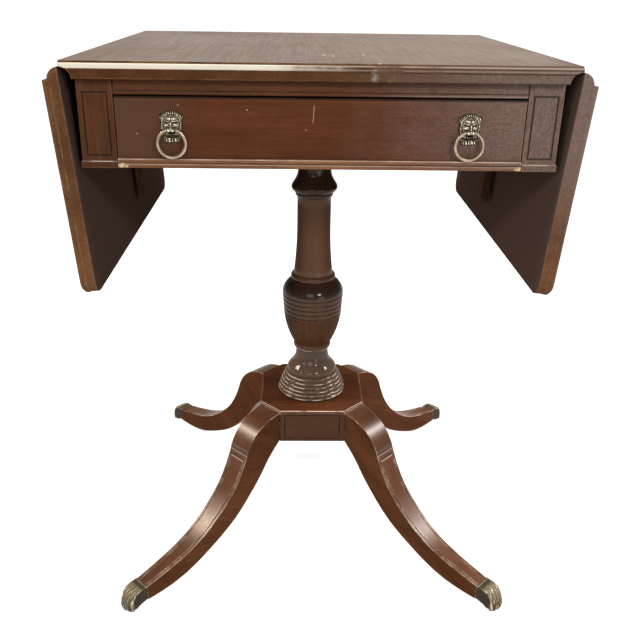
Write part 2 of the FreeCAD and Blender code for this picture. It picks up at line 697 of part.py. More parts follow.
def drawer_side(slack=0.0):
    """Right-hand drawer side, lapped into the back of the front."""
    front = DRAWER_FACE + DRAWER_FRONT_THICKNESS - DRAWER_LAP - slack
    inner = DRAWER_X - DRAWER_SIDE_THICKNESS - slack
    return box(inner, DRAWER_X, front, DRAWER_END, DRAWER_BOX_BOTTOM - slack, DRAWER_BOX_TOP + slack)


def pull_places():
    """Centres of the two pulls along X."""
    return {"right": PULL_X, "left": -PULL_X}


def pull_bolt(x):
    """Bolt from inside the drawer through its front into a mask, just above the ring's bar."""
    inside = DRAWER_FACE + DRAWER_FRONT_THICKNESS
    z = PULL_HEIGHT + FACE_RISE
    shank = rod_y(PULL_BOLT_RADIUS, DRAWER_FACE - PULL_BOLT_GRIP, inside, x, z)
    head = rod_y(PULL_BOLT_HEAD_RADIUS, inside, inside + PULL_BOLT_HEAD, x, z)
    return shank.fuse(head)


def make_drawer_front():
    """Drawer front with laps for the sides, a groove for the bottom and holes for the pull bolts."""
    back = DRAWER_FACE + DRAWER_FRONT_THICKNESS
    slab = box(-DRAWER_X, DRAWER_X, DRAWER_FACE, back, DRAWER_FRONT_BOTTOM, DRAWER_FRONT_TOP)
    side = drawer_side(JOINT_CLEARANCE)
    cuts = [side, mirrored(side), drawer_panel(JOINT_CLEARANCE)]
    cuts += [pull_bolt(x) for x in pull_places().values()]
    return less(slab, cuts)


def make_drawer_moulding():
    """Strip with two beads along the foot of the drawer front."""
    top = DRAWER_FRONT_BOTTOM + MOULDING_HEIGHT
    r = MOULDING_HEIGHT / 4
    strip = box(-DRAWER_X, DRAWER_X, DRAWER_FACE - MOULDING_BASE, DRAWER_FACE, DRAWER_FRONT_BOTTOM, top)
    y = DRAWER_FACE - MOULDING_PROUD + r
    beads = [rod_x(r, -DRAWER_X, DRAWER_X, y, z) for z in (DRAWER_FRONT_BOTTOM + r, top - r)]
    behind = box(-DRAWER_X, DRAWER_X, DRAWER_FACE, DRAWER_FACE + MOULDING_HEIGHT, DRAWER_FRONT_BOTTOM, top)
    return less(joined([strip] + beads), [behind])


def make_drawer_back():
    """Drawer back between the sides, standing on the bottom."""
    inner = DRAWER_X - DRAWER_SIDE_THICKNESS
    low = DRAWER_BOX_BOTTOM + DRAWER_PANEL_RISE + DRAWER_PANEL_THICKNESS
    high = DRAWER_BOX_TOP - DRAWER_BACK_DROP
    return box(-inner, inner, DRAWER_END - DRAWER_SIDE_THICKNESS, DRAWER_END, low, high)


def make_drawer_side():
    """Right-hand side with its groove for the bottom."""
    return drawer_side().cut(drawer_panel(JOINT_CLEARANCE))


def make_mask(x):
    """Lion mask: mane plate, ears, brow, face, and a muzzle bored for the ring."""
    y = DRAWER_FACE
    z = PULL_HEIGHT
    pivot_y = y - PULL_STANDOFF
    middle = z + (MASK_RISE - MASK_DROP) / 2
    height = (MASK_RISE + MASK_DROP) / 2
    mane = Part.makeCylinder(MASK_HALF_WIDTH, MASK_PLATE, Vector(0, y, 0), ALONG_Y * -1)
    stretch = FreeCAD.Matrix()
    stretch.scale(1.0, 1.0, height / MASK_HALF_WIDTH)
    mane = mane.transformGeometry(stretch)
    mane.translate(Vector(x, 0, middle))
    beard = box(x - BEARD_HALF_WIDTH, x + BEARD_HALF_WIDTH, y - MASK_PLATE, y, z - BEARD_DROP, z)
    face = Part.makeSphere(FACE_RADIUS, Vector(x, y - FACE_RADIUS / 6, z + FACE_RISE))
    muzzle = rod_y(MUZZLE_RADIUS, y - MUZZLE_REACH, y, x, z)
    nose = Part.makeSphere(MUZZLE_RADIUS * 0.6, Vector(x, y - MUZZLE_REACH + 1, z + MUZZLE_RADIUS * 0.7))
    pieces = [mane, beard, face, muzzle, nose]
    for side in (-1, 1):
        pieces.append(rod_y(EAR_RADIUS, y - MASK_PLATE - 1, y, x + side * EAR_REACH, z + EAR_RISE))
        brow = Vector(x + side * FACE_RADIUS / 2, y - FACE_RADIUS, z + FACE_RISE + BROW_RADIUS)
        pieces.append(Part.makeSphere(BROW_RADIUS, brow))
    room = RING_BAR_LENGTH / 2 - RING_SIDE_CLEARANCE
    reach = 3 * MUZZLE_RADIUS
    front = y - reach - PULL_STANDOFF
    high = z + MUZZLE_RADIUS / 2
    sides = [box(x + room, x + reach, front, y - MASK_PLATE, z - reach, high),
             box(x - reach, x - room, front, y - MASK_PLATE, z - reach, high)]
    wide = 2 * MASK_RISE
    behind = box(x - wide, x + wide, y, y + wide, z - wide, z + wide)
    bore = rod_x(RING_BAR_RADIUS + RING_BAR_CLEARANCE, x - reach, x + reach, pivot_y, z)
    return less(joined(pieces), sides + [behind, bore, pull_bolt(x)])


def make_ring(x):
    """Ring whose straight bar turns in the mask's muzzle."""
    mean = RING_OUTER_RADIUS - RING_WIRE_RADIUS
    half = RING_BAR_LENGTH / 2
    y = DRAWER_FACE - PULL_STANDOFF
    drop = math.sqrt(mean ** 2 - half ** 2)
    centre = Vector(x, y, PULL_HEIGHT - drop)
    hoop = Part.makeTorus(mean, RING_WIRE_RADIUS, centre, ALONG_Y)
    reach = 2 * RING_WIRE_RADIUS
    hoop = hoop.cut(box(x - half, x + half, y - reach, y + reach, PULL_HEIGHT - reach, PULL_HEIGHT + reach))
    end = half + RING_WIRE_RADIUS / 2
    bar = rod_x(RING_BAR_RADIUS, x - end, x + end, y, PULL_HEIGHT)
    return hoop.fuse(bar).removeSplitter()


# Column and platform

def turned_solid(start, steps):
    """Solid turned about Z; each step draws on from the last (radius, height) by a line, arc or curve."""
    at = [Vector(r, 0, z) for r, z in [start]]
    edges = [line(Vector(0, 0, start[1]), at[0])]
    for kind, points in steps:
        targets = [Vector(r, 0, z) for r, z in points]
        if kind == "line":
            edges += [line(a, b) for a, b in zip(at[-1:] + targets[:-1], targets)]
        elif kind == "arc":
            edges.append(arc(at[-1], targets[0], targets[1]))
        else:
            edges.append(curve(at[-1:] + targets))
        at = targets
    end = at[-1]
    edges.append(line(end, Vector(0, 0, end.z)))
    edges.append(line(Vector(0, 0, end.z), Vector(0, 0, start[1])))
    return Part.Face(Part.Wire(edges)).revolve(Vector(0, 0, 0), UP, 360)


def between(start, end, fractions):
    """Points given as fractions of the way from one (radius, height) to another."""
    return [(start[0] + f * (end[0] - start[0]), start[1] + g * (end[1] - start[1])) for f, g in fractions]


def foot_steps(base):
    """Stack of beads that narrows upward, faster towards the top."""
    steps = []
    pitch = COLUMN_FOOT_HEIGHT / COLUMN_FOOT_BEADS
    fall = COLUMN_FOOT_RADIUS - COLUMN_FOOT_TOP_RADIUS
    shares = [(i / COLUMN_FOOT_BEADS) ** COLUMN_FOOT_POWER for i in range(COLUMN_FOOT_BEADS + 1)]
    radii = [COLUMN_FOOT_RADIUS - COLUMN_FOOT_BULGE - fall * share for share in shares]
    for i in range(COLUMN_FOOT_BEADS):
        z = base + i * pitch
        middle = (radii[i] + radii[i + 1]) / 2 + COLUMN_FOOT_BULGE
        steps.append(("arc", [(middle, z + pitch / 2), (radii[i + 1], z + pitch)]))
    return steps


def vase_steps(base):
    """Vase with incised lines under its shoulder."""
    r0 = NECK_RING_RADIUS - VASE_FOOT_STEP
    lines_low = base + VASE_HEIGHT - VASE_LINE_PITCH * (VASE_LINES - 1) - VASE_LINE_MARGIN
    body = between((r0, base), (VASE_RADIUS, base + VASE_HEIGHT), VASE_CURVE)
    steps = [("curve", body)]
    for i in range(VASE_LINES):
        z = lines_low + i * VASE_LINE_PITCH
        r = VASE_RADIUS - VASE_LINE_TAPER * (VASE_LINES - 1 - i)
        steps.append(("line", [(r, z - VASE_LINE_HALF)]))
        steps.append(("arc", [(r - VASE_LINE_DEPTH, z), (r, z + VASE_LINE_HALF)]))
    return steps


def make_column():
    """Column turned from one piece, drawn upward from the platform, with a tenon at each end."""
    foot = PLATFORM_TOP
    bell = foot + COLUMN_FOOT_HEIGHT
    neck = bell + BELL_HEIGHT
    ring = neck + NECK_RING_HEIGHT / 2
    vase = ring + NECK_RING_HEIGHT
    shoulder = vase + VASE_HEIGHT
    shaft_ring = shoulder + SHOULDER_HEIGHT
    shaft = shaft_ring + SHAFT_RING_HEIGHT
    collar = APRON_BOTTOM - COLLAR_DROP
    cap = APRON_BOTTOM - CAPITAL_HEIGHT
    low = foot - FOOT_TENON_LENGTH
    rf = COLUMN_FOOT_TOP_RADIUS - COLUMN_FOOT_BULGE
    steps = [("line", [(FOOT_TENON_RADIUS, foot), (COLUMN_FOOT_RADIUS - COLUMN_FOOT_BULGE, foot)])]
    steps += foot_steps(foot)
    steps.append(("curve", between((rf, bell), (NECK_RADIUS, neck), BELL_CURVE)))
    steps.append(("line", [(NECK_RADIUS, ring), (NECK_RING_RADIUS - NECK_RING_STEP, ring)]))
    ring_end = (NECK_RING_RADIUS - VASE_FOOT_STEP, vase)
    steps.append(("arc", [(NECK_RING_RADIUS, ring + NECK_RING_HEIGHT / 2), ring_end]))
    steps += vase_steps(vase)
    ring_foot = (SHAFT_RING_RADIUS - SHAFT_RING_STEP, shaft_ring)
    steps.append(("curve", between((VASE_RADIUS, shoulder), ring_foot, SHOULDER_CURVE)))
    ring_middle = (SHAFT_RING_RADIUS, shaft_ring + SHAFT_RING_HEIGHT / 2)
    steps.append(("arc", [ring_middle, (SHAFT_FLARE_RADIUS, shaft)]))
    swell = SHAFT_FLARE_RADIUS - SHAFT_RADIUS
    parts = (0.25, 0.5, 0.75, 1.0)
    flare = [(SHAFT_RADIUS + swell * (1 - t) ** 2, shaft + SHAFT_FLARE_HEIGHT * t) for t in parts]
    steps.append(("curve", flare))
    shaft_end = (SHAFT_RADIUS, collar - COLLAR_FALL)
    collar_edge = (COLLAR_RADIUS, collar)
    neck_foot = (UPPER_NECK_RADIUS, collar + COLLAR_RISE)
    steps.append(("line", [shaft_end]))
    steps.append(("curve", between(shaft_end, collar_edge, COLLAR_BEAD_FOOT)))
    steps.append(("arc", between(shaft_end, collar_edge, COLLAR_BEAD_ROUND)))
    under = between(shaft_end, collar_edge, COLLAR_UNDER_CURVE)
    over = between(collar_edge, neck_foot, COLLAR_OVER_CURVE)
    steps.append(("curve", under + over))
    steps.append(("curve", between(neck_foot, (CAPITAL_RADIUS - CAPITAL_STEP, cap), CAPITAL_CURVE)))
    steps.append(("line", [(CAPITAL_RADIUS, cap), (CAPITAL_RADIUS, APRON_BOTTOM)]))
    steps.append(("line", [(TOP_TENON_RADIUS, APRON_BOTTOM), (TOP_TENON_RADIUS, BEARER_TOP)]))
    return turned_solid((FOOT_TENON_RADIUS, low), steps).cut(bolt_shank(JOINT_CLEARANCE))


def bolt_shank(slack=0.0):
    """Shank of the bolt that draws the column down on the platform."""
    z = PLATFORM_BOTTOM + BOLT_RECESS
    return rod_z(COLUMN_BOLT_RADIUS + slack, z, z + COLUMN_BOLT_LENGTH + slack, 0, 0)


def make_column_bolt():
    """Hexagon-headed bolt with a flange, up through the platform into the column."""
    z = PLATFORM_BOTTOM + BOLT_RECESS
    turns = [k * math.pi / 3 for k in range(7)]
    corners = [Vector(math.cos(t), math.sin(t), 0) * BOLT_HEAD_RADIUS for t in turns]
    head = Part.Face(Part.makePolygon(corners)).extrude(UP * BOLT_HEAD_HEIGHT)
    head.translate(UP * (z - BOLT_FLANGE - BOLT_HEAD_HEIGHT))
    flange = rod_z(BOLT_FLANGE_RADIUS, z - BOLT_FLANGE, z, 0, 0)
    return joined([head, flange, bolt_shank()])


def octagon(inset, z0, z1):
    """Square block with canted corners."""
    h = PLATFORM_HALF - inset
    f = PLATFORM_FLAT - inset * math.tan(math.pi / 8)
    ring = [(f, -h), (h, -f), (h, f), (f, h), (-f, h), (-h, f), (-h, -f), (-f, -h)]
    corners = [Vector(x, y, z0) for x, y in ring]
    return Part.Face(Part.makePolygon(corners + corners[:1])).extrude(UP * (z1 - z0))


def platform_frame():
    """Incised rectangle on the front face of the platform."""
    x = PLATFORM_FLAT - PLATFORM_FRAME_SIDE
    z0 = PLATFORM_BOTTOM + PLATFORM_FRAME_BOTTOM
    z1 = PLATFORM_BODY_TOP - PLATFORM_FRAME_TOP
    y = -PLATFORM_HALF
    w = PANEL_LINE
    outer = box(-x, x, y, y + PANEL_DEPTH, z0, z1)
    return outer.cut(box(-x + w, x - w, y, y + PANEL_DEPTH, z0 + w, z1 - w))


def make_platform():
    """Canted block with a reeded top edge, incised faces, the column's socket and the leg dowels' holes."""
    body = octagon(0.0, PLATFORM_BOTTOM, PLATFORM_BODY_TOP)
    reeds = []
    for i in range(2):
        z = PLATFORM_BODY_TOP + i * PLATFORM_REED
        reed = octagon(PLATFORM_REED_INSET * (i + 0.5), z, z + PLATFORM_REED)
        edges = [e for e in reed.Edges if e.BoundBox.ZMin > z + PLATFORM_REED - 1e-6]
        reeds.append(reed.makeFillet(PLATFORM_REED * 0.45, edges))
    cuts = [turned_about(platform_frame(), Vector(0, 0, 0), UP, 90 * k) for k in range(4)]
    socket = PLATFORM_TOP - FOOT_TENON_LENGTH - JOINT_CLEARANCE
    cuts.append(rod_z(FOOT_TENON_RADIUS + JOINT_CLEARANCE, socket, PLATFORM_TOP, 0, 0))
    cuts.append(rod_z(COLUMN_BOLT_RADIUS + JOINT_CLEARANCE, PLATFORM_BOTTOM, PLATFORM_TOP, 0, 0))
    cuts.append(rod_z(BOLT_RECESS_RADIUS, PLATFORM_BOTTOM, PLATFORM_BOTTOM + BOLT_RECESS, 0, 0))
    for angle in LEG_ANGLES.values():
        cuts += [placed(d, angle) for d in dowel_solids(JOINT_CLEARANCE)]
    return less(joined([body] + reeds), cuts)


# Legs and paw caps, drawn along X and turned to their corners

def placed(shape, angle):
    """Copy of a leg piece turned to its corner."""
    return turned_about(shape, Vector(0, 0, 0), UP, angle)


def dowel_solids(slack=0.0):
    """Two dowels, one above the other, across the joint of a leg and the platform."""
    middle = (PLATFORM_BOTTOM + PLATFORM_BODY_TOP) / 2
    half = LEG_DOWEL_LENGTH / 2 + slack
    levels = (middle - LEG_DOWEL_SPACING / 2, middle + LEG_DOWEL_SPACING / 2)
    return [rod_x(LEG_DOWEL_RADIUS + slack, CANT_REACH - half, CANT_REACH + half, 0, z) for z in levels]


def leg_points(fractions):
    """Points in the plane of a leg, as fractions of the way out to the toe and of the height of its root."""
    reach = LEG_TOE_REACH - CANT_REACH
    return [Vector(CANT_REACH + f * reach, 0, g * PLATFORM_BODY_TOP) for f, g in fractions]


def shin_points():
    """Upper face of the leg from below its bead to the cap."""
    return leg_points(LEG_SHIN_CURVE) + [Vector(LEG_TOE_REACH, 0, LEG_TOE_TOP)]


def leg_side():
    """Side view of a leg as a face."""
    root_low = Vector(CANT_REACH, 0, PLATFORM_BOTTOM)
    root_high = Vector(CANT_REACH, 0, PLATFORM_BODY_TOP)
    toe_low = Vector(LEG_TOE_REACH, 0, LEG_TOE_BOTTOM)
    shin = shin_points()
    knee = [root_high] + leg_points(LEG_KNEE_CURVE)
    under = [toe_low] + leg_points(LEG_CALF_CURVE + LEG_HOLLOW_CURVE) + [root_low]
    edges = [curve(under), line(root_low, root_high), curve(knee), line(knee[-1], shin[0])]
    edges += [curve(shin), line(shin[-1], toe_low)]
    return Part.Face(Part.Wire(edges))


def strip_below(points, depth, width):
    """Thin slab that follows a curve and lies just under it, inward along both r and z."""
    shift = Vector(-depth, 0, -depth)
    lifted = [p - shift for p in points]
    sunk = [p + shift for p in points]
    edges = [curve(lifted), line(lifted[-1], sunk[-1]), curve(sunk), line(sunk[0], lifted[0])]
    return face_of(edges).extrude(ALONG_Y * width)


def leg_taper():
    """Plan of a leg, narrowing to the toe, as a tall block."""
    reach = LEG_TOE_REACH
    a = LEG_ROOT_WIDTH / 2
    b = LEG_TOE_WIDTH / 2
    corners = [Vector(CANT_REACH, -a, 0), Vector(reach, -b, 0), Vector(reach, b, 0), Vector(CANT_REACH, a, 0)]
    return Part.Face(Part.makePolygon(corners + corners[:1])).extrude(UP * TABLE_HEIGHT)


def leg_grooves():
    """Lines sunk along both edges of the shin."""
    half = LEG_ROOT_WIDTH / 2
    turn = math.degrees(math.atan2((LEG_ROOT_WIDTH - LEG_TOE_WIDTH) / 2, LEG_TOE_REACH - CANT_REACH))
    grooves = []
    for side in (-1, 1):
        slab = strip_below(shin_points(), LEG_GROOVE_DEPTH, LEG_GROOVE_WIDTH)
        slab.translate(Vector(0, side * (half - LEG_GROOVE_INSET) - LEG_GROOVE_WIDTH / 2, 0))
        grooves.append(turned_about(slab, Vector(CANT_REACH, side * half, 0), UP, -side * turn))
    return grooves


def cap_tenon(slack=0.0):
    """End of the leg inside its paw cap."""
    y = CAP_TENON_WIDTH / 2 + slack
    end = LEG_TOE_REACH + CAP_TENON_LENGTH + slack
    return box(LEG_TOE_REACH, end, -y, y, CAP_TENON_BOTTOM - slack, CAP_TENON_TOP + slack)


def cap_screw():
    """Screw up through the sole of a paw cap into the leg."""
    return screw(Vector(LEG_TOE_REACH + CAP_SCREW_SETBACK, 0, CAP_SCREW_HEAD_HEIGHT), UP, CAP_SCREW_LENGTH)


def make_leg():
    """Sabre leg with a cross bead under the knee and a lined shin."""
    w = LEG_ROOT_WIDTH
    blank = leg_side().extrude(ALONG_Y * w)
    blank.translate(ALONG_Y * (-w / 2))
    knee_end = leg_points(LEG_KNEE_CURVE)[-1]
    r = LEG_BEAD_RADIUS
    bead = rod_y(r, -w / 2, w / 2, knee_end.x - r / 2, knee_end.z - r)
    leg = blank.fuse(bead).common(leg_taper())
    leg = joined([leg, cap_tenon()])
    return less(leg, leg_grooves() + dowel_solids(JOINT_CLEARANCE) + [cap_screw()])


def cap_front():
    """Curve of a paw cap from its collar over the toes to the sole."""
    return [Vector(LEG_TOE_REACH + f * CAP_LENGTH, 0, g * CAP_HEIGHT) for f, g in CAP_FRONT_CURVE]


def cap_side():
    """Side view of a paw cap as a face."""
    r = LEG_TOE_REACH
    front = cap_front()
    collar_top = Vector(r, 0, CAP_HEIGHT - CAP_COLLAR_DROP)
    collar_low = Vector(r, 0, LEG_TOE_BOTTOM - CAP_COLLAR_DROP)
    sole = Vector(r + CAP_SOLE_START, 0, 0)
    edges = [line(collar_top, front[0]), curve(front), line(front[-1], sole)]
    edges += [line(sole, collar_low), line(collar_low, collar_top)]
    return Part.Face(Part.Wire(edges))


def cap_outline(inset, z):
    """Plan of a paw cap, rounded at the toes, drawn in by a margin at a given height."""
    r0 = LEG_TOE_REACH
    tip = r0 + CAP_LENGTH
    h = CAP_WIDTH / 2 - inset
    side = tip - CAP_TOE_ROUND
    edges = [line(Vector(r0, h, z), Vector(r0, -h, z)), line(Vector(r0, -h, z), Vector(side, -h, z))]
    edges.append(arc(Vector(side, -h, z), Vector(tip - inset, 0, z), Vector(side, h, z)))
    edges.append(line(Vector(side, h, z), Vector(r0, h, z)))
    return Part.Wire(edges)


def cap_plan():
    """Plan of a paw cap as a tall block, bevelled round the sole."""
    full = cap_outline(0, CAP_SOLE_BEVEL)
    block = Part.Face(full).extrude(UP * (CAP_HEIGHT - CAP_SOLE_BEVEL))
    sole = Part.makeLoft([cap_outline(CAP_SOLE_BEVEL, 0), full], True, True)
    return joined([block, sole])


def toe_groove(y):
    """Cut between two toes: the front crescent of the cap's side view."""
    slab = cap_side().extrude(ALONG_Y * CAP_TOE_GROOVE)
    inner = slab.copy()
    inner.translate(Vector(-CAP_TOE_DEPTH, 0, -CAP_TOE_DEPTH / 2))
    start = LEG_TOE_REACH + CAP_LENGTH / 2
    front = box(start, start + 2 * CAP_LENGTH, -CAP_WIDTH, CAP_WIDTH, -CAP_HEIGHT, 2 * CAP_HEIGHT)
    crescent = slab.cut(inner).common(front)
    crescent.translate(ALONG_Y * (y - CAP_TOE_GROOVE / 2))
    return crescent


def make_paw_cap():
    """Brass cap over a leg's end, with toes worked in its front."""
    body = cap_side().extrude(ALONG_Y * CAP_WIDTH)
    body.translate(ALONG_Y * (-CAP_WIDTH / 2))
    body = body.common(cap_plan())
    pitch = CAP_WIDTH / CAP_TOES
    cuts = [toe_groove(k * pitch - CAP_WIDTH / 2) for k in range(1, CAP_TOES)]
    cuts += [cap_tenon(CAP_CLEARANCE), cap_screw()]
    cuts.append(rod_z(SCREW_HEAD_RADIUS, 0, CAP_SCREW_HEAD_HEIGHT, LEG_TOE_REACH + CAP_SCREW_SETBACK, 0))
    return less(body, cuts)


# Assembly

def both_sides(name, shape):
    """Right and left pieces under their node names."""
    return {"right_" + name: shape, "left_" + name: mirrored(shape)}


def case_pieces():
    """Top, posts, aprons, rail, runners, kickers and bearer."""
    parts = {"top_panel": make_top(), "front_rail": make_rail()}
    parts.update({"back_apron": make_back_apron(), "column_bearer": make_bearer()})
    parts.update(both_sides("front_post", make_front_post()))
    parts.update(both_sides("back_post", make_back_post()))
    parts.update(both_sides("apron", make_side_apron()))
    parts.update(both_sides("runner", make_runner()))
    parts.update(both_sides("kicker", make_kicker()))
    screws = top_screw_solids()
    parts["top_screws"] = Part.makeCompound(screws + [mirrored(s) for s in screws])
    return parts


def leaf_pieces():
    """Leaves, hinges and stays."""
    parts = both_sides("leaf", hung(make_leaf()))
    parts.update(both_sides("leaf_screws", hung(Part.makeCompound(leaf_screw_solids()))))
    pins = []
    screws = []
    for end, y in zip(("front", "back"), hinge_centres()):
        parts.update(both_sides(end + "_hinge_top_plate", make_hinge_top_plate(y)))
        parts.update(both_sides(end + "_hinge_leaf_plate", hung(make_hinge_leaf_plate(y))))
        pins.append(make_hinge_pin(y))
        screws += hinge_screw_solids(y)
    parts["hinge_pins"] = Part.makeCompound(pins + [mirrored(p) for p in pins])
    parts["hinge_top_screws"] = Part.makeCompound(screws + [mirrored(s) for s in screws])
    parts.update(both_sides("stay_bracket", make_stay_bracket()))
    parts.update(both_sides("stay_arm", make_stay_arm()))
    pin = make_stay_pin()
    parts["stay_pins"] = Part.makeCompound([pin, mirrored(pin)])
    screws = stay_screw_solids()
    parts["stay_screws"] = Part.makeCompound(screws + [mirrored(s) for s in screws])
    return parts


def drawer_pieces():
    """Drawer box, its moulding and its pulls."""
    parts = {"drawer_front": make_drawer_front(), "drawer_moulding": make_drawer_moulding()}
    parts.update({"drawer_back": make_drawer_back(), "drawer_bottom": drawer_panel()})
    parts.update({"drawer_" + name: shape for name, shape in both_sides("side", make_drawer_side()).items()})
    for side, x in pull_places().items():
        parts[side + "_pull_mask"] = make_mask(x)
        parts[side + "_pull_ring"] = make_ring(x)
    parts["pull_bolts"] = Part.makeCompound([pull_bolt(x) for x in pull_places().values()])
    return parts


def base_pieces():
    """Column, platform, legs and paw caps."""
    parts = {"column": make_column(), "platform": make_platform(), "column_bolt": make_column_bolt()}
    leg = make_leg()
    cap = make_paw_cap()
    dowels = []
    screws = []
    for name, angle in LEG_ANGLES.items():
        parts[name + "_leg"] = placed(leg, angle)
        parts[name + "_paw_cap"] = placed(cap, angle)
        dowels += [placed(d, angle) for d in dowel_solids()]
        screws.append(placed(cap_screw(), angle))
    parts["leg_dowels"] = Part.makeCompound(dowels)
    parts["paw_cap_screws"] = Part.makeCompound(screws)
    return parts


os.makedirs("parts", exist_ok=True)
for group in (case_pieces(), leaf_pieces(), drawer_pieces(), base_pieces()):
    for node, shape in group.items():
        shape.exportStep("parts/" + node + ".step")
        solids = len(shape.Solids)
        volume = sum(s.Volume for s in shape.Solids)
        print(node, solids, "solid(s)", round(volume), "mm3", "ok" if shape.isValid() else "INVALID")
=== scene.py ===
# %% [markdown]
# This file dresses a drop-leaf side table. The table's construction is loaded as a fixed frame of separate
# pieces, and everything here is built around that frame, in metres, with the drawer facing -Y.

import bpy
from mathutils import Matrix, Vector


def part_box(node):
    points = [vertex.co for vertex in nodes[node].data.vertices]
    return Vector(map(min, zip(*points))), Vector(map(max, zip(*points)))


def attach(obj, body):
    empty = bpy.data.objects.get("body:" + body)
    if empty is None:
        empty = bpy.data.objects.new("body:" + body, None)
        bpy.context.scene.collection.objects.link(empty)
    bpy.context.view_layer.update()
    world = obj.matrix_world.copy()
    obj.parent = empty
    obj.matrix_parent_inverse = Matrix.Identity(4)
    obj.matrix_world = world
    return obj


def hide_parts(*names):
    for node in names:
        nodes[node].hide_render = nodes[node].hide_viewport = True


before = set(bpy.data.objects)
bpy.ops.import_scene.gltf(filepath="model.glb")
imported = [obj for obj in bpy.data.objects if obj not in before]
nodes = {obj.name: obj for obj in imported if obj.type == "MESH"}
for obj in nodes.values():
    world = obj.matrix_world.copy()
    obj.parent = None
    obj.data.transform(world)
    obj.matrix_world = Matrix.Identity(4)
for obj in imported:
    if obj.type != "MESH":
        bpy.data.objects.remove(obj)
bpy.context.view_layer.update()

import math

import bpy
import numpy as np

MM = 0.001
SIDES = {"left": -1, "right": 1}
scene = bpy.context.scene

# %% [markdown]
# The camera stands in front of the table, a little above the top, and looks 23 degrees down. A camera is a
# lens and a place: the lens length over the 36 mm sensor fixes how wide it sees, and the small shift moves
# the picture on the sensor without turning the camera. The Standard view shows colours as they are, where a
# filmic one would soften the bright ones.

# %% Camera
CAMERA_TURN = (67.079, -0.767, -0.966)
lens = bpy.data.cameras.new("front_camera")
lens.sensor_width = 36.0
lens.lens = 43.145
lens.shift_x = 0.0154
lens.shift_y = -0.0240
camera = bpy.data.objects.new("front_camera", lens)
camera.location = (-0.0289, -1.1116, 0.8324)
camera.rotation_euler = [math.radians(angle) for angle in CAMERA_TURN]
scene.collection.objects.link(camera)
scene.camera = camera
scene.view_settings.view_transform = "Standard"
print("camera at", tuple(round(v, 3) for v in camera.location))

# %% [markdown]
# Materials are made of nodes. Writing each node by hand takes many lines, so a helper adds one node, sets
# its inputs, and returns the socket that the next node reads. An input that is itself a socket becomes a
# link. Only one material is made at a time: its node tree lies on the bench, and new nodes go there.

# %% One shader node
bench = {}


def feed(node, inputs):
    """Sets inputs of a node: a socket becomes a link, anything else a constant."""
    for key, value in inputs.items():
        if isinstance(value, bpy.types.NodeSocket):
            node.id_data.links.new(value, node.inputs[key])
        else:
            node.inputs[key].default_value = value


def new_node(kind):
    """Node in the tree on the bench, as it comes."""
    return bench["tree"].nodes.new("ShaderNode" + kind)


def add(kind, output=0, inputs=None, **settings):
    """One node with its inputs and settings; returns the chosen output socket."""
    made = new_node(kind)
    for key, value in settings.items():
        setattr(made, key, value)
    feed(made, inputs or {})
    return made.outputs[output]


def on_bench(owner):
    """Puts the node tree of a material or a world on the bench, with nothing in it."""
    owner.use_nodes = True
    owner.node_tree.nodes.clear()
    bench["tree"] = owner.node_tree
    return owner


def start_material(name):
    """Empty node material with a Principled surface; returns the material and the surface's node."""
    material = on_bench(bpy.data.materials.new(name))
    surface = new_node("BsdfPrincipled")
    feed(new_node("OutputMaterial"), {"Surface": surface.outputs[0]})
    return material, surface


print("a node and a material can be made")

# %% [markdown]
# A pattern is a number that varies over the surface, so these helpers do arithmetic with sockets. Two of
# them shape nearly every mark on the table: step goes smoothly from one value to another, and window is a
# strip with soft ends.

# %% Arithmetic with sockets
FINE = 0.0003


def calc(operation, a, b=0.0, clamp=False):
    """One sum: a (operation) b."""
    return add("Math", inputs={0: a, 1: b}, operation=operation, use_clamp=clamp)


def times(first, *others):
    """Product of all the values."""
    for other in others:
        first = calc("MULTIPLY", first, other)
    return first


def most(first, *others):
    """Largest of the values."""
    for other in others:
        first = calc("MAXIMUM", first, other)
    return first


def plus(first, *others):
    """Sum of all the values."""
    for other in others:
        first = calc("ADD", first, other)
    return first


def minus(a, b):
    """Difference of two values."""
    return calc("SUBTRACT", a, b)


def apart(a, b=0.0):
    """Distance between two values, never negative."""
    return calc("ABSOLUTE", minus(a, b))


def weighted(*pairs):
    """Sum of values, each times its weight."""
    return plus(*[times(value, weight) for value, weight in pairs])


def step(value, low, high, to_low=0.0, to_high=1.0):
    """Smooth step from to_low at low to to_high at high; low may be the larger one."""
    limits = {"Value": value, "From Min": low, "From Max": high, "To Min": to_low, "To Max": to_high}
    return add("MapRange", inputs=limits, interpolation_type="SMOOTHSTEP")


def window(value, low, high, soft=FINE):
    """1 between low and high, with soft ends."""
    return times(step(value, low - soft, low + soft), step(value, high + soft, high - soft))


print("arithmetic ready")

# %% [markdown]
# Places and directions are vectors, and colours are mixed in layers, as a finisher would stain, rub and
# lacquer. Noise gives the unevenness that no real finish is without.


# %% Vectors and colours
def xyz(vector):
    """The three parts of a vector."""
    return add("SeparateXYZ", inputs={0: vector}).node.outputs[:]


def normal():
    """Direction that the surface looks in."""
    return add("NewGeometry", 1)


def along(vector, direction):
    """How far a vector reaches along a direction."""
    return add("VectorMath", 1, {0: vector, 1: direction}, operation="DOT_PRODUCT")


def scaled(vector, factors):
    """Vector with each part times its own factor."""
    return add("VectorMath", inputs={0: vector, 1: factors}, operation="MULTIPLY")


def opaque(colour):
    """Red, green and blue made a full colour; a socket stays as it is."""
    return colour if isinstance(colour, bpy.types.NodeSocket) else (*colour, 1.0)


def mixed(amount, a, b, blend="MIX"):
    """Colour a changed towards colour b by amount."""
    inputs = {0: amount, 6: opaque(a), 7: opaque(b)}
    return add("Mix", 2, inputs, data_type="RGBA", blend_type=blend, clamp_factor=True)


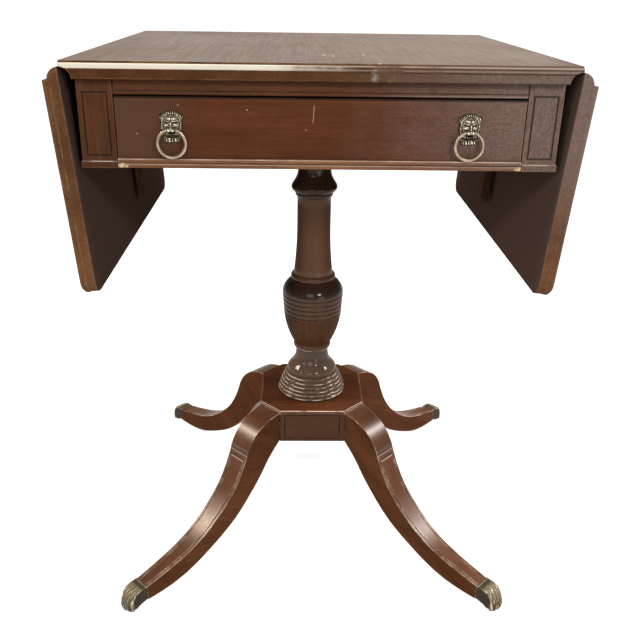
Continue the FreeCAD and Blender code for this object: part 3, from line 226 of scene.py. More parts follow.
def noise(vector, scale=1.0, detail=2.0, roughness=0.5, distortion=0.0):
    """Cloudy value from 0 to 1, mostly near 0.5."""
    shape = {"Scale": scale, "Detail": detail, "Roughness": roughness, "Distortion": distortion}
    return add("TexNoise", inputs={"Vector": vector, **shape})


def tones(value, stops):
    """Colour ramp through (position, colour) stops."""
    socket = add("ValToRGB", inputs={0: value})
    ramp = socket.node.color_ramp
    while len(ramp.elements) < len(stops):
        ramp.elements.new(1.0)
    for element, (position, colour) in zip(ramp.elements, stops):
        element.position = position
        element.color = opaque(colour)
    return socket


print("vectors and colours ready")

# %% [markdown]
# The table stands on a plain white floor in pale surroundings. The camera looks down on the floor
# everywhere, so the floor makes the background. Stronger lamps could whiten it, but they would bleach the
# table, so the floor glows, more so far from the table, where the lamps no longer reach. Near the table the
# rest of its light is real, and the soft shadow stays. Only rays that show the floor see the glow; what it
# throws back up at the table is a dim grey.

# %% World and floor
WORLD_LIGHT = 0.30
FLOOR_RADIUS = 60.0
GLOW_REACH = (0.5, 1.8)
GLOW = (0.80, 1.0)


def studio_world(light):
    """Even pale surroundings."""
    scene.world = on_bench(bpy.data.worlds.new("studio"))
    soft = add("Background", inputs={"Color": (1.0, 0.985, 0.96, 1.0), "Strength": light})
    feed(new_node("OutputWorld"), {"Surface": soft})


def seen_directly():
    """1 for rays that show the floor itself: from the camera, and in reflections or through glass."""
    path = add("LightPath").node.outputs
    return most(path["Is Camera Ray"], path["Is Glossy Ray"], path["Is Transmission Ray"])


def floor_white():
    """White that glows with the distance from the table when seen, and is dim grey to all other light."""
    material = on_bench(bpy.data.materials.new("floor_white"))
    away = add("VectorMath", 1, {0: add("TexCoord", 3)}, operation="LENGTH")
    grey = add("BsdfDiffuse", inputs={"Color": (0.30, 0.29, 0.28, 1.0)})
    pale = add("BsdfDiffuse", inputs={"Color": (0.40, 0.40, 0.40, 1.0)})
    strength = step(away, *GLOW_REACH, *GLOW)
    glow = add("Emission", inputs={"Color": (1.0, 1.0, 1.0, 1.0), "Strength": strength})
    lit = add("AddShader", inputs={0: pale, 1: glow})
    shown = add("MixShader", inputs={0: seen_directly(), 1: grey, 2: lit})
    feed(new_node("OutputMaterial"), {"Surface": shown})
    return material


def studio_floor(radius):
    """Flat disc: a rim of 96 points at one radius."""
    turn = np.linspace(0.0, 2.0 * np.pi, 97)[:-1]
    rim = np.stack([radius * np.cos(turn), radius * np.sin(turn), np.zeros_like(turn)], axis=1)
    mesh = bpy.data.meshes.new("floor")
    mesh.from_pydata(rim.tolist(), [], [list(range(len(rim)))])
    floor = bpy.data.objects.new("floor", mesh)
    scene.collection.objects.link(floor)
    mesh.materials.append(floor_white())


studio_world(WORLD_LIGHT)
studio_floor(FLOOR_RADIUS)
print("floor of", FLOOR_RADIUS, "m in even light of", WORLD_LIGHT)

# %% [markdown]
# The bright places on the legs and the column tell where the light comes from. Two lamps stand high at the
# sides, the left one warmer. A small key lamp stands in front on the right, and dim lamps fill the front.
# One more stands behind, wide and dim: the top mirrors it towards the camera. Rectangles of light give soft
# reflections, where points of light would give hard ones.

# %% Lamps
WHITE = (1.0, 1.0, 1.0)
WARM = (1.0, 0.83, 0.66)
PALE = (1.0, 0.92, 0.86)
CREAM = (1.0, 0.92, 0.82)


def lamp(name, place, aim, size, watts, tint=WHITE):
    """Rectangular lamp at a place, turned to shine at a point."""
    light = bpy.data.lights.new(name, "AREA")
    light.shape = "RECTANGLE"
    light.size, light.size_y = size
    light.energy = watts
    light.color = tint
    made = bpy.data.objects.new(name, light)
    made.location = place
    away = np.array(place, float) - np.array(aim, float)
    flat = math.hypot(away[0], away[1])
    made.rotation_euler = (math.atan2(flat, away[2]), 0.0, math.atan2(away[1], away[0]) + math.pi / 2)
    scene.collection.objects.link(made)


lamp("key", (1.0, -2.1, 1.8), (0.0, 0.0, 0.45), (0.40, 0.30), 20.0)
lamp("front_fill", (-0.5, -2.4, 1.5), (0.0, 0.0, 0.45), (1.1, 1.1), 15.0)
lamp("front_left", (-1.9, -1.5, 1.4), (0.0, 0.0, 0.4), (0.25, 0.20), 8.0)
lamp("high_left", (-2.3, 0.05, 2.0), (0.0, 0.0, 0.3), (0.90, 0.35), 82.0, WARM)
lamp("high_right", (2.1, 0.05, 2.0), (0.0, 0.0, 0.3), (0.90, 0.35), 94.0, PALE)
lamp("right_sheen", (1.0, -1.75, 0.5), (0.2, -0.25, 0.6), (0.8, 0.8), 5.0)
lamp("back_glare", (0.0, 2.6, 1.55), (0.0, 0.0, 0.75), (2.5, 1.1), 5.9, CREAM)

# %% [markdown]
# Old lacquer is worn off the edges and chipped here and there. The corners are darkened, which is painted
# shade along with grime, and the right-hand end of the front carries a painted grey sheen, for a reflection.
# Painting that by hand would have to be done again for every piece. Instead a Bevel node finds the edges, an
# Ambient Occlusion node the corners, and noise breaks both up.

# %% Wear, painted corner shade and painted sheen
SHEEN_GREY = (0.180, 0.128, 0.111)
SHEEN_ACROSS = (0.06, 0.31)
SHEEN_UP = (0.52, 0.69)
SHEEN_FRONT = (-0.20, -0.235)


def edges_and_corners(radius):
    """Rounded normal, share of an outer edge, and openness (0 deep in a corner, 1 free) at a point."""
    rounded = add("Bevel", inputs={"Radius": radius}, samples=6)
    wide = add("Bevel", inputs={"Radius": 2.2 * radius}, samples=6)
    open_air = add("AmbientOcclusion", 1, {"Distance": 0.012}, samples=6)
    bend = step(along(wide, normal()), 0.985, 0.86)
    return rounded, times(bend, step(open_air, 0.55, 0.8)), open_air


def specks(place, scale, size, share):
    """Small round marks, one in some of the cells of a loose pattern."""
    cell = add("TexVoronoi", inputs={"Vector": place, "Scale": scale, "Randomness": 1.0}).node.outputs
    pick = add("SeparateColor", inputs={0: cell["Color"]})
    near = step(cell["Distance"], size * scale, 0.5 * size * scale)
    return times(near, calc("LESS_THAN", pick, share))


def spots(place, points, size):
    """1 within size metres of any of a few points, which are given in millimetres."""
    nearest = 1.0
    for point in points:
        at = tuple(v * MM for v in point)
        away = add("VectorMath", 1, {0: place, 1: at}, operation="DISTANCE")
        nearest = calc("MINIMUM", away, nearest)
    return step(nearest, size, 0.6 * size)


def bloom(place, colour):
    """Painted grey sheen for a reflection, growing towards the right-hand end of the front, and only there.
    """
    x, y, z = xyz(place)
    right = plus(x, times(noise(place, 30.0, 4.0, 0.6), 0.12))
    fine = step(noise(place, 340.0, 3.0, 0.6), 0.25, 0.75, 0.55, 1.25)
    amount = times(step(right, *SHEEN_ACROSS, 0.0, 0.90), step(z, *SHEEN_UP), fine, step(y, *SHEEN_FRONT))
    return mixed(amount, colour, SHEEN_GREY)


# The cloudy lacquer of this line is a painted grey sheen.
print("edges, chips and cloudy lacquer ready")

# %% [markdown]
# The table is old mahogany. Real boards show broad bands of figure, fine streaks and short dark pores that
# all run along the grain. An image could show that, but a pattern worked out from position fits every piece
# and never repeats, so the grain is noise, stretched along the board. Lacquer is a clear coat over wood
# that has no shine of its own.

# %% Wood finish
ALONG_X = (0.0, 0.0, 0.0)
ALONG_Y = (0.0, 0.0, math.pi / 2)
ALONG_Z = (0.0, math.pi / 2, 0.0)
PORE_DARK = (0.02, 0.009, 0.006)
CORNER_SHADE_AND_GRIME = (0.012, 0.008, 0.006)
CHIP_PALE = (0.55, 0.45, 0.34)


def grain(place, turn, figure):
    """Bands, streaks and pores: three noises, each drawn out along the grain by its own pair of scales."""
    lie = add("Mapping", inputs={"Vector": place, "Rotation": turn})
    stretched = [scaled(lie, (a, b, b)) for a, b in (figure, (8.0, 240.0), (70.0, 1700.0))]
    bands = noise(stretched[0], 1.0, 4.0, 0.6, 0.4)
    return bands, noise(stretched[1], 1.0, 3.0, 0.6), noise(stretched[2], 1.0, 1.0)


def wood(name, turn, shades, wear=(0.50, 0.36, 0.24), rub=0.55, coat=0.10, haze=0.28, figure=(2.2, 24.0),
         cloud=7.0, corner_shade_and_grime=0.65, chips=0.0, edge=0.0011, with_sheen=False, marks=None, bare=None):
    """Wood under lacquer: the grain goes through the three shades, edges wear towards the wear colour and
    corners are darkened, as painted shade and grime; with_sheen adds a painted grey sheen. coat is the amount
    of lacquer and haze how blurred its reflections are; marks adds what only one piece has, and bare tells
    where the lacquer is gone."""
    material, surface = start_material(name)
    place = add("TexCoord", 3)
    bands, streaks, pores = grain(place, turn, figure)
    clouds = noise(place, cloud, 4.0, 0.55)
    patchy = noise(place, 38.0, 5.0, 0.7)
    tone = weighted((bands, 0.42), (streaks, 0.30), (clouds, 0.28))
    colour = tones(step(tone, 0.34, 0.66), list(zip((0.0, 0.5, 1.0), shades)))
    if with_sheen:
        # Painted sheen: grey towards the right-hand end of the front, for a reflection.
        colour = bloom(place, colour)
    colour = mixed(step(pores, 0.45, 0.36, 0.0, 0.35), colour, PORE_DARK)
    rounded, outer, open_air = edges_and_corners(edge)
    # Painted shade and grime: darker where the Ambient Occlusion node finds a corner.
    colour = mixed(step(open_air, 0.75, 0.2, 0.0, corner_shade_and_grime), colour, CORNER_SHADE_AND_GRIME)
    worn = times(outer, step(patchy, 0.40, 0.62, 0.15, 1.0), rub)
    colour = mixed(worn, colour, wear)
    if chips:
        colour = mixed(times(specks(place, 17.0, 0.0006, chips), 0.8), colour, CHIP_PALE)
    if marks:
        colour = marks(place, colour)
    uneven = weighted((clouds, 0.45), (patchy, 0.20), (streaks, 0.35))
    lacquer = step(uneven, 0.35, 0.65, 1.3 * coat, 0.7 * coat)
    if bare:
        lacquer = times(lacquer, minus(1.0, bare(place)))
    height = weighted((pores, 0.5), (streaks, 0.5))
    relief = {"Strength": 0.25, "Distance": 0.0002, "Height": height, "Normal": rounded}
    dents = add("Bump", inputs=relief)
    rough = step(uneven, 0.35, 0.65, 0.45, 0.70)
    feed(surface, {"Base Color": colour, "Roughness": rough, "Normal": dents})
    feed(surface, {"Coat Weight": lacquer, "Coat Normal": dents, "Coat Roughness": haze})
    surface.inputs["Specular IOR Level"].default_value = 0.0
    return material


def dress(material, names):
    """Puts a finish on frame pieces, in every material slot of each."""
    for name in names:
        piece = nodes[name]
        if not piece.data.materials:
            piece.data.materials.append(material)
        for i in range(len(piece.material_slots)):
            piece.material_slots[i].material = material
    print(material.name, "on", len(names), "piece(s)")


# %% [markdown]
# The top is a dark lacquered board with its grain from front to back. At the camera's low angle its lacquer
# mirrors the lamp behind and looks pale. A paler stain could give that too, but the board would then be
# beige from every side. The moulded edges are dull, with a painted grey sheen towards the right. The bead
# along the front has lost its finish on the left-hand half, down to pale wood; on the right its grooves
# are painted with shade and its ridges with highlights. Places on the edge are measured down from the
# upper face.

# %% Top
TOP_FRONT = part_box("top_panel")[0][1]
TOP_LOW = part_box("top_panel")[0][2]
TOP_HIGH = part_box("top_panel")[1][2]
BEAD = (0.0022, 0.0078)
BEAD_RIM = (0.0020, 0.0032)
BEAD_CREST = (0.0060, 0.0074)
UPPER_GROOVE = (0.0041, 0.0050)
LOWER_GROOVE = (0.0083, 0.0097)
BARE_WOOD = (0.78, 0.72, 0.60)
RIDGE_HIGHLIGHT = (0.46, 0.36, 0.30)
SMEAR = [(66.0, -261.0, 738.0)]
PAINT_SPECKS = [(-197.8, -4.6, 751.0), (4.7, -158.7, 751.0), (14.9, -170.3, 751.0), (51.6, -152.1, 751.0),
                (61.3, -256.2, 751.0)]


def upright_faces(place):
    """1 on the edges of the top, 0 on its upper face."""
    return step(xyz(normal())[2], 0.97, 0.80)


def bead_marks(place, colour, upright, ragged):
    """Bare pale wood along the left of the front bead; on its right, painted highlights on the ridges
    and painted shade in the grooves.
    """
    x, y, z = xyz(place)
    down = minus(TOP_HIGH, z)
    front = step(y, TOP_FRONT + 0.0027, TOP_FRONT + 0.0022)
    left = step(plus(x, times(ragged, 0.16)), 0.145, 0.0)
    right = step(plus(x, ragged), 0.40, 0.62)
    edge = times(upright, right)
    colour = mixed(times(front, window(down, *BEAD), left), colour, BARE_WOOD)
    # Painted highlight along the bead's rim on the right.
    colour = mixed(times(front, window(down, *BEAD_RIM), right, 0.55), colour, RIDGE_HIGHLIGHT)
    # Painted shade in the two grooves on the right.
    upper = times(window(down, *UPPER_GROOVE), 0.6)
    lower = times(window(down, *LOWER_GROOVE), 0.8)
    colour = mixed(times(most(upper, lower), edge), colour, (0.040, 0.026, 0.021))
    # Painted highlight along the bead's crest on the right.
    crest = times(window(down, *BEAD_CREST, 0.0004), edge, 0.35)
    return mixed(crest, colour, RIDGE_HIGHLIGHT)


def top_marks(place, colour):
    """A lighter right-hand side, a painted grey sheen on the edges, the worn bead with its painted shade and
    highlights, a smear and specks of paint.
    """
    ragged = noise(place, 24.0, 4.0, 0.7)
    upright = upright_faces(place)
    lighter = step(xyz(place)[0], -0.28, 0.20, 0.0, 0.45)
    colour = mixed(lighter, colour, (0.130, 0.085, 0.062))
    colour = mixed(upright, colour, (1.0, 0.80, 0.52), "MULTIPLY")
    # Painted grey sheen on the edges of the top.
    colour = mixed(upright, colour, bloom(place, colour))
    colour = bead_marks(place, colour, upright, ragged)
    smear = times(spots(place, SMEAR, 0.016), step(ragged, 0.42, 0.58, 0.0, 0.5))
    colour = mixed(smear, colour, (0.55, 0.50, 0.45))
    return mixed(spots(place, PAINT_SPECKS, 0.0024), colour, (0.85, 0.83, 0.78))


TOP_TONES = [(0.060, 0.030, 0.019), (0.085, 0.044, 0.028), (0.115, 0.062, 0.041)]
top_finish = wood("top_finish", ALONG_Y, TOP_TONES, coat=0.8, haze=0.30, figure=(2.0, 30.0), cloud=5.0,
                  chips=0.25, rub=0.7, wear=(0.50, 0.38, 0.28), marks=top_marks, bare=upright_faces)
dress(top_finish, ["top_panel"])

# %% [markdown]
# A leaf has three finishes: its outer face is lacquered as the top is, for it lies beside it when raised;
# its edges are dull and carry a painted grey sheen; its inner face is stained nearly black, as undersides
# often are, with painted shade over that. Three materials could be given to three groups of faces, but
# the frame's pieces stay as they are, so one material measures the depth in the leaf instead.

# %% Leaves
LEAF_LEAN = math.radians(4.2)
HINGE_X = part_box("top_panel")[1][0]
BOARD = TOP_HIGH - TOP_LOW
INNER_STAIN_AND_SHADE_LEFT = (0.072, 0.046, 0.037)
INNER_STAIN_AND_SHADE_RIGHT = (0.115, 0.078, 0.064)


def leaf_depth(place):
    """Depth in a hanging leaf, outward from its inner face, which leans from the hinge's centre."""
    x, _, z = xyz(place)
    side = minus(apart(x), HINGE_X)
    drop = minus(TOP_LOW, z)
    return weighted((side, math.cos(LEAF_LEAN)), (drop, math.sin(LEAF_LEAN)))


def inner_face(place):
    """1 on the face of a leaf that looks at the case."""
    return step(leaf_depth(place), 0.0009, 0.0004)


def outer_face(place):
    """1 on the face of a leaf that lies level with the top when it is raised."""
    return step(leaf_depth(place), BOARD - 0.0012, BOARD - 0.0003)


def leaf_bare(place):
    """Lacquer like the top's on the outer face, hardly any on the edges, none inside."""
    edges = times(minus(1.0, outer_face(place)), 0.875)
    return most(edges, inner_face(place))


def leaf_stain(place, colour):
    """Brown like the top on the outer face, a painted grey sheen on the edges, and inside a dark-stained
    colour with painted shade, lighter on the right.
    """
    outer = outer_face(place)
    brown = mixed(outer, colour, (0.61, 0.71, 1.08), "MULTIPLY")
    # Painted grey sheen on the edges, kept off the outer face.
    colour = mixed(outer, bloom(place, colour), brown)
    # Inside: a dark-stained colour with painted shade in it, lighter on the right.
    stain_and_shade = mixed(step(xyz(place)[0], -0.1, 0.1), INNER_STAIN_AND_SHADE_LEFT, INNER_STAIN_AND_SHADE_RIGHT)
    return mixed(times(inner_face(place), 0.95), colour, stain_and_shade)


LEAF_TONES = [(0.095, 0.040, 0.017), (0.140, 0.062, 0.026), (0.185, 0.086, 0.038)]
leaf_finish = wood("leaf_finish", ALONG_Y, LEAF_TONES, coat=0.8, haze=0.30, chips=0.12, rub=0.6,
                   marks=leaf_stain, bare=leaf_bare)
dress(leaf_finish, ["left_leaf", "right_leaf"])

# %% [markdown]
# The case under the top is a rail over the drawer, four posts and boards between them, each with the grain
# along its length. Painted shade darkens the groove beside the rail's bead and the line that frames each
# post, and the rail's ends are dark. A painted highlight runs along the bead on the right and along the
# plinth's edge. The lines are drawn as colour, over what the frame's own grooves give.

# %% Case
GROOVE_DARK = (0.016, 0.010, 0.008)
RAIL_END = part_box("right_front_post")[0][0]
RAIL_FRONT = (-0.235, -0.237)
RAIL_GROOVE = (0.7188, 0.7198)
RAIL_CREST = (0.7158, 0.7170)
POST_FRAME = ((0.2485, 0.6828), (0.0140, 0.0352))
PLINTH_EDGE = (0.6410, 0.6421)


def frame_line(x, z, middle, half, inner, soft):
    """1 on the border of a rectangle: the larger distance past its sides is between -inner and soft."""
    wide = minus(apart(x, middle[0]), half[0])
    high = minus(apart(z, middle[1]), half[1])
    return window(most(wide, high), -inner, soft, soft)


def rail_marks(place, colour):
    """Painted shade in the groove over the front rail's bead, dark ends, and a painted highlight on the bead
    on the right.
    """
    x, y, z = xyz(place)
    front = step(y, *RAIL_FRONT)
    # Painted highlight along the bead, on the right only.
    crest = times(window(z, *RAIL_CREST, 0.0004), step(x, 0.02, 0.16, 0.0, 0.4), front)
    colour = mixed(crest, colour, RIDGE_HIGHLIGHT)
    # Painted shade in the groove over the bead; the dark ends are where the rail meets the posts.
    ends = step(apart(x), RAIL_END - 0.0016, RAIL_END - 0.0011)
    groove = times(most(ends, window(z, *RAIL_GROOVE)), front, 0.8)
    return mixed(groove, colour, (0.016, 0.008, 0.006))


def post_marks(place, colour):
    """Painted shade in the line that frames the post's face, and a painted highlight along the edge on top of
    the plinth below it.
    """
    x, y, z = xyz(place)
    # Painted shade in the framing line.
    line = frame_line(apart(x), z, *POST_FRAME, 0.0018, 0.0004)
    colour = mixed(times(line, step(y, -0.2465, -0.2475), 0.8), colour, GROOVE_DARK)
    # Painted highlight along the plinth's edge, broken up by noise.
    plinth_highlight = times(window(z, *PLINTH_EDGE), step(y, -0.2480, -0.2485))
    patchy = step(noise(place, 70.0, 4.0, 0.6), 0.35, 0.6, 0.2, 0.85)
    return mixed(times(plinth_highlight, patchy), colour, (0.60, 0.50, 0.43))


CASE_TONES = [(0.060, 0.022, 0.010), (0.092, 0.034, 0.015), (0.125, 0.048, 0.021)]
# with_sheen puts a painted grey sheen on the right-hand end of rail and posts.
rail_finish = wood("rail_finish", ALONG_X, CASE_TONES, rub=0.35, with_sheen=True, marks=rail_marks)
post_finish = wood("post_finish", ALONG_Z, CASE_TONES, rub=0.20, with_sheen=True, marks=post_marks)
apron_finish = wood("apron_finish", ALONG_Y, CASE_TONES)
dress(rail_finish, ["front_rail", "back_apron"])
dress(post_finish, [side + "_" + end + "_post" for side in SIDES for end in ("front", "back")])
dress(apron_finish, ["left_apron", "right_apron"])

# %% [markdown]
# The drawer front is the reddest board and has the broadest figure. A long scratch and a few nicks show the
# pale wood under its finish, and a painted shadow darkens its upper edge below the rail. The two beads of
# the moulding below carry painted highlights along their tops, and a corner is broken at each end.

# %% Drawer
FACE_Y = -0.247
DRAWER_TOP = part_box("drawer_front")[1][2]
SCRATCH = (-0.0090, -0.0083)
SCRATCH_HEIGHT = (0.686, 0.705)
SCRATCH_LEAN = 0.075
NICKS = [(-205.2, -247.0, 672.4), (-158.4, -247.0, 704.3), (-16.9, -247.0, 678.4), (-82.2, -247.0, 699.6)]
UPPER_BEAD = (0.6441, 0.6451)
LOWER_BEAD = (0.6386, 0.6393)
BROKEN = [(-112.0, -252.0, 637.0), (114.3, -252.0, 636.6)]


def drawer_marks(place, colour):
    """A greyer left end, a painted shadow along the upper edge, a long scratch and a few pale nicks in the
    drawer front.
    """
    x, y, z = xyz(place)
    colour = mixed(step(x, -0.12, -0.20, 0.0, 0.7), colour, (0.095, 0.050, 0.032))
    lean = minus(x, times(minus(z, 0.695), SCRATCH_LEAN))
    line = times(window(lean, *SCRATCH), window(z, *SCRATCH_HEIGHT, 0.002), 0.75)
    colour = mixed(line, colour, (0.50, 0.36, 0.25))
    # Painted shadow: the top of the drawer front darkened, as in the gap under the rail.
    rim = step(z, DRAWER_TOP - 0.0019, DRAWER_TOP - 0.0014)
    rim = times(rim, step(y, FACE_Y + 0.0012, FACE_Y + 0.0006, 0.0, 0.85))
    colour = mixed(rim, colour, CORNER_SHADE_AND_GRIME)
    return mixed(times(spots(place, NICKS, 0.0011), 0.45), colour, (0.60, 0.47, 0.34))


def moulding_marks(place, colour):
    """Painted highlights along the tops of the beads, and corners broken off at both ends of the moulding."""
    z = xyz(place)[2]
    streaky = noise(scaled(place, (9.0, 0.0, 0.0)), 1.0, 4.0, 0.7)
    # Painted highlights along the tops of the two beads.
    upper = times(window(z, *UPPER_BEAD, 0.0004), step(streaky, 0.40, 0.60, 0.35, 0.95))
    lower = times(window(z, *LOWER_BEAD, 0.0004), step(streaky, 0.62, 0.40, 0.25, 0.75))
    colour = mixed(most(upper, lower), colour, (0.66, 0.50, 0.39))
    ragged = step(noise(place, 220.0, 3.0, 0.6), 0.36, 0.46)
    broken = spots(scaled(place, (0.5, 1.0, 1.0)), BROKEN, 0.0046)
    return mixed(times(broken, ragged), colour, (0.66, 0.50, 0.30))


DRAWER_TONES = [(0.072, 0.022, 0.008), (0.100, 0.031, 0.0115), (0.134, 0.043, 0.0165)]
MOULDING_TONES = [(0.165, 0.066, 0.030), (0.225, 0.098, 0.047), (0.290, 0.138, 0.070)]
# with_sheen puts a painted grey sheen on the right-hand end of drawer and moulding.
drawer_finish = wood("drawer_finish", ALONG_X, DRAWER_TONES, figure=(3.0, 12.0), cloud=10.0, chips=0.2,
                     with_sheen=True, marks=drawer_marks)
moulding_finish = wood("moulding_finish", ALONG_X, MOULDING_TONES, rub=0.8, edge=0.0014, with_sheen=True,
                       marks=moulding_marks)
dress(drawer_finish, ["drawer_front"])
dress(moulding_finish, ["drawer_moulding"])

# %% [markdown]
# The column is turned, so its lacquer is darker and glossier than that of the boards. It has thinned on the
# shaft and on the vase, where hands and light reach, and keeps its gloss in the mouldings between them. The
# collar and the vase's shoulder are painted darker, the cut lines and ring grooves carry painted shade,
# and the front of the shaft a painted highlight. The foot is a stack of beads, with broken painted
# highlights on their crests. Nearly all of that depends on height alone, so windows of z can draw it.

# %% Column
FOOT_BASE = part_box("platform")[1][2]
FOOT_PITCH = 0.034 / 6.0
VASE_PITCH = 0.0075
VASE_LINE = 0.354 - 0.5 * VASE_PITCH
DULL_BANDS = [(0.300, 0.352, 0.004), (0.425, 0.530, 0.006)]
SHAFT_HIGHLIGHT = (0.420, 0.533, 0.004)
DARK_BANDS = [(0.5490, 0.590, 0.003), (0.3885, 0.4085, 0.003)]
DARK_RINGS = [(0.4075, 0.4100, 0.0006), (0.5395, 0.5415, 0.0006), (0.5440, 0.5475, 0.0008)]
NECK_LINE = (0.2932, 0.2948, 0.0004)


def windows(value, bands):
    """1 inside any of the bands."""
    return most(*[window(value, *band) for band in bands])


def repeated(z, start, pitch, count, middle, reach):
    """Lines one pitch apart, so many of them up from a start, each about the same part of its pitch."""
    turned = calc("DIVIDE", minus(z, start), pitch)
    off = apart(calc("FRACT", turned), middle)
    return times(step(off, *reach), window(turned, 0.0, count, 0.02))


def thin_lacquer(place):
    """Most of the gloss is gone from shaft and vase; the turned mouldings between them keep it."""
    return times(windows(xyz(place)[2], DULL_BANDS), 0.75)


def foot_crests(place, colour):
    """Broken painted highlights along the six beads of the column's foot and on the neck above them."""
    z = xyz(place)[2]
    patchy = noise(place, 55.0, 3.0, 0.6)
    # Painted highlights: a broken pale line just above the middle of each bead, and one on the neck.
    crest = repeated(z, FOOT_BASE, FOOT_PITCH, 6.0, 0.62, (0.13, 0.04))
    crest = times(crest, step(patchy, 0.44, 0.60, 0.0, 0.75))
    neck = times(window(z, *NECK_LINE), step(patchy, 0.36, 0.52, 0.1, 0.8))
    return mixed(most(crest, neck), colour, (0.66, 0.58, 0.50))


def column_marks(place, colour):
    """Painted highlight down the shaft's front, an olive foot, a darker collar and shoulder, painted shade in
    the cut lines and ring grooves, painted highlights on the crests.
    """
    z = xyz(place)[2]
    # Painted highlight: the shaft's front-facing middle made lighter.
    shaft_front_highlight = step(xyz(normal())[1], -0.60, -0.98, 0.0, 0.5)
    colour = mixed(times(shaft_front_highlight, window(z, *SHAFT_HIGHLIGHT)), colour, (0.160, 0.086, 0.050))
    colour = mixed(step(z, 0.302, 0.290, 0.0, 0.8), colour, (0.074, 0.051, 0.037))
    # Painted shade in the vase's cut lines and the ring grooves; the collar and the shoulder are made darker.
    cuts = repeated(z, VASE_LINE, VASE_PITCH, 5.0, 0.5, (0.17, 0.08, 0.0, 0.75))
    bands = times(windows(z, DARK_BANDS), 0.72)
    rings = times(windows(z, DARK_RINGS), 0.85)
    colour = mixed(most(bands, cuts, rings), colour, (0.014, 0.010, 0.009))
    return foot_crests(place, colour)


COLUMN_TONES = [(0.066, 0.028, 0.014), (0.088, 0.038, 0.019), (0.112, 0.050, 0.026)]
column_finish = wood("column_finish", ALONG_Z, COLUMN_TONES, coat=0.36, haze=0.11, figure=(3.0, 30.0),
                     corner_shade_and_grime=0.75, rub=0.30, marks=column_marks, bare=thin_lacquer)
dress(column_finish, ["column"])

# %% [markdown]
# The platform under the column is a plain block. Its front upper edge and the small steps on its canted
# corners carry pale painted highlights, the line that frames its front painted shade, and the back of its
# top painted shade from the table above.

# %% Platform
FRONT_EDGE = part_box("platform")[0][1]
REEDS = [(0.2137, 0.2141), (0.2158, 0.2170), (0.2115, 0.2120)]
PLATFORM_FRAME = ((0.0, 0.18905), (0.0435, 0.02105))


def canted_corners():
    """1 on the faces that look to both X and Y."""
    across = add("VectorMath", 0, {0: normal()}, operation="ABSOLUTE")
    x, y, _ = xyz(across)
    return step(calc("MINIMUM", x, y), 0.45, 0.60)


def platform_marks(place, colour):
    """Painted highlights on the front top edge and the corner reeds; painted shade in the frame line and on
    the back of the top; a lighter front face.
    """
    x, y, z = xyz(place)
    front = step(y, FRONT_EDGE + 0.0020, FRONT_EDGE + 0.0015)
    colour = mixed(times(front, 0.5), colour, (0.096, 0.052, 0.031))
    # Painted shade in the frame line.
    line = frame_line(x, z, *PLATFORM_FRAME, 0.0016, FINE)
    colour = mixed(times(line, front, 0.6), colour, GROOVE_DARK)
    # Painted shade on the back of the top face, under the table.
    shade = step(z, FOOT_BASE - 0.0015, FOOT_BASE - 0.0005)
    shade = times(shade, step(y, -0.070, -0.025, 0.0, 0.4))
    colour = mixed(shade, colour, (0.026, 0.006, 0.002))
    # Painted highlights on the corner reeds and along the front top edge.
    reeds = times(canted_corners(), windows(z, REEDS))
    patchy = step(noise(place, 60.0, 4.0, 0.6), 0.34, 0.50, 0.3, 1.0)
    edge = step(y, FRONT_EDGE + 0.0030, FRONT_EDGE + 0.0024)
    edge = times(step(z, FOOT_BASE - 0.0011, FOOT_BASE - 0.0005), edge, patchy)
    return mixed(times(most(reeds, edge), 0.92), colour, (0.74, 0.62, 0.50))


PLATFORM_TONES = [(0.048, 0.015, 0.006), (0.074, 0.025, 0.010), (0.104, 0.038, 0.016)]
platform_finish = wood("platform_finish", ALONG_X, PLATFORM_TONES, coat=0.07, rub=0.35,
                       wear=(0.62, 0.48, 0.36), marks=platform_marks)
dress(platform_finish, ["platform"])

# %% [markdown]
# A leg is sawn from a straight plank, so its grain runs straight down the slope of the leg rather than
# round its curve. Its rounded top is polished by use and its flat sides are dull. Below the knee a band of
# painted shade and a painted highlight mark a step, and a line cut across each shin closes the two lines
# that run down it, painted with shade and with a highlight on its lip. Each leg points another way, so each
# has a finish of its own, made by one loop.

# %% Legs
LEG_HEADINGS = {"front_right": -45.0, "back_right": 45.0, "back_left": 135.0, "front_left": -135.0}
LEG_SLOPE = math.radians(42.0)
STEP_SHADE = (0.1650, 0.1712, 0.0006)
STEP_HIGHLIGHT = (0.1630, 0.1642, 0.0004)
SHIN_CUT = (0.1560, 0.1578)
SHIN_LIP = (0.1538, 0.1555, 0.0004)
LEG_HIGHLIGHT = (0.50, 0.36, 0.25)
STEP_SHADE_BROWN = (0.030, 0.020, 0.014)


def sideways(vector, heading):
    """How far a vector reaches to either side of a leg that points along heading."""
    turn = math.radians(heading)
    return apart(along(vector, (-math.sin(turn), math.cos(turn), 0.0)))


def dull_sides(heading):
    """Lack of gloss on a leg that points along heading: flat sides are dull, the rounded top shines."""
    def bare(place):
        return step(sideways(normal(), heading), 0.4, 0.8, 0.0, 0.92)

    return bare


def shin_line(heading):
    """Marks for the leg that points along heading: painted shade and a painted highlight at the step below
    the knee, painted shade in a cut line, a painted highlight on its lip.
    """
    def marks(place, colour):
        inside = step(sideways(place, heading), 0.0142, 0.0136)
        upper = step(xyz(normal())[2], 0.05, 0.15)
        z = xyz(place)[2]
        # Painted shade below the knee and a painted highlight under it, on faces that look up.
        colour = mixed(times(upper, window(z, *STEP_SHADE), 0.65), colour, STEP_SHADE_BROWN)
        colour = mixed(times(upper, window(z, *STEP_HIGHLIGHT), 0.5), colour, LEG_HIGHLIGHT)
        # Painted shade in the cut line across the shin, and a painted highlight on its lip.
        colour = mixed(times(inside, window(z, *SHIN_CUT)), colour, (0.012, 0.007, 0.005))
        return mixed(times(inside, window(z, *SHIN_LIP), 0.6), colour, LEG_HIGHLIGHT)

    return marks


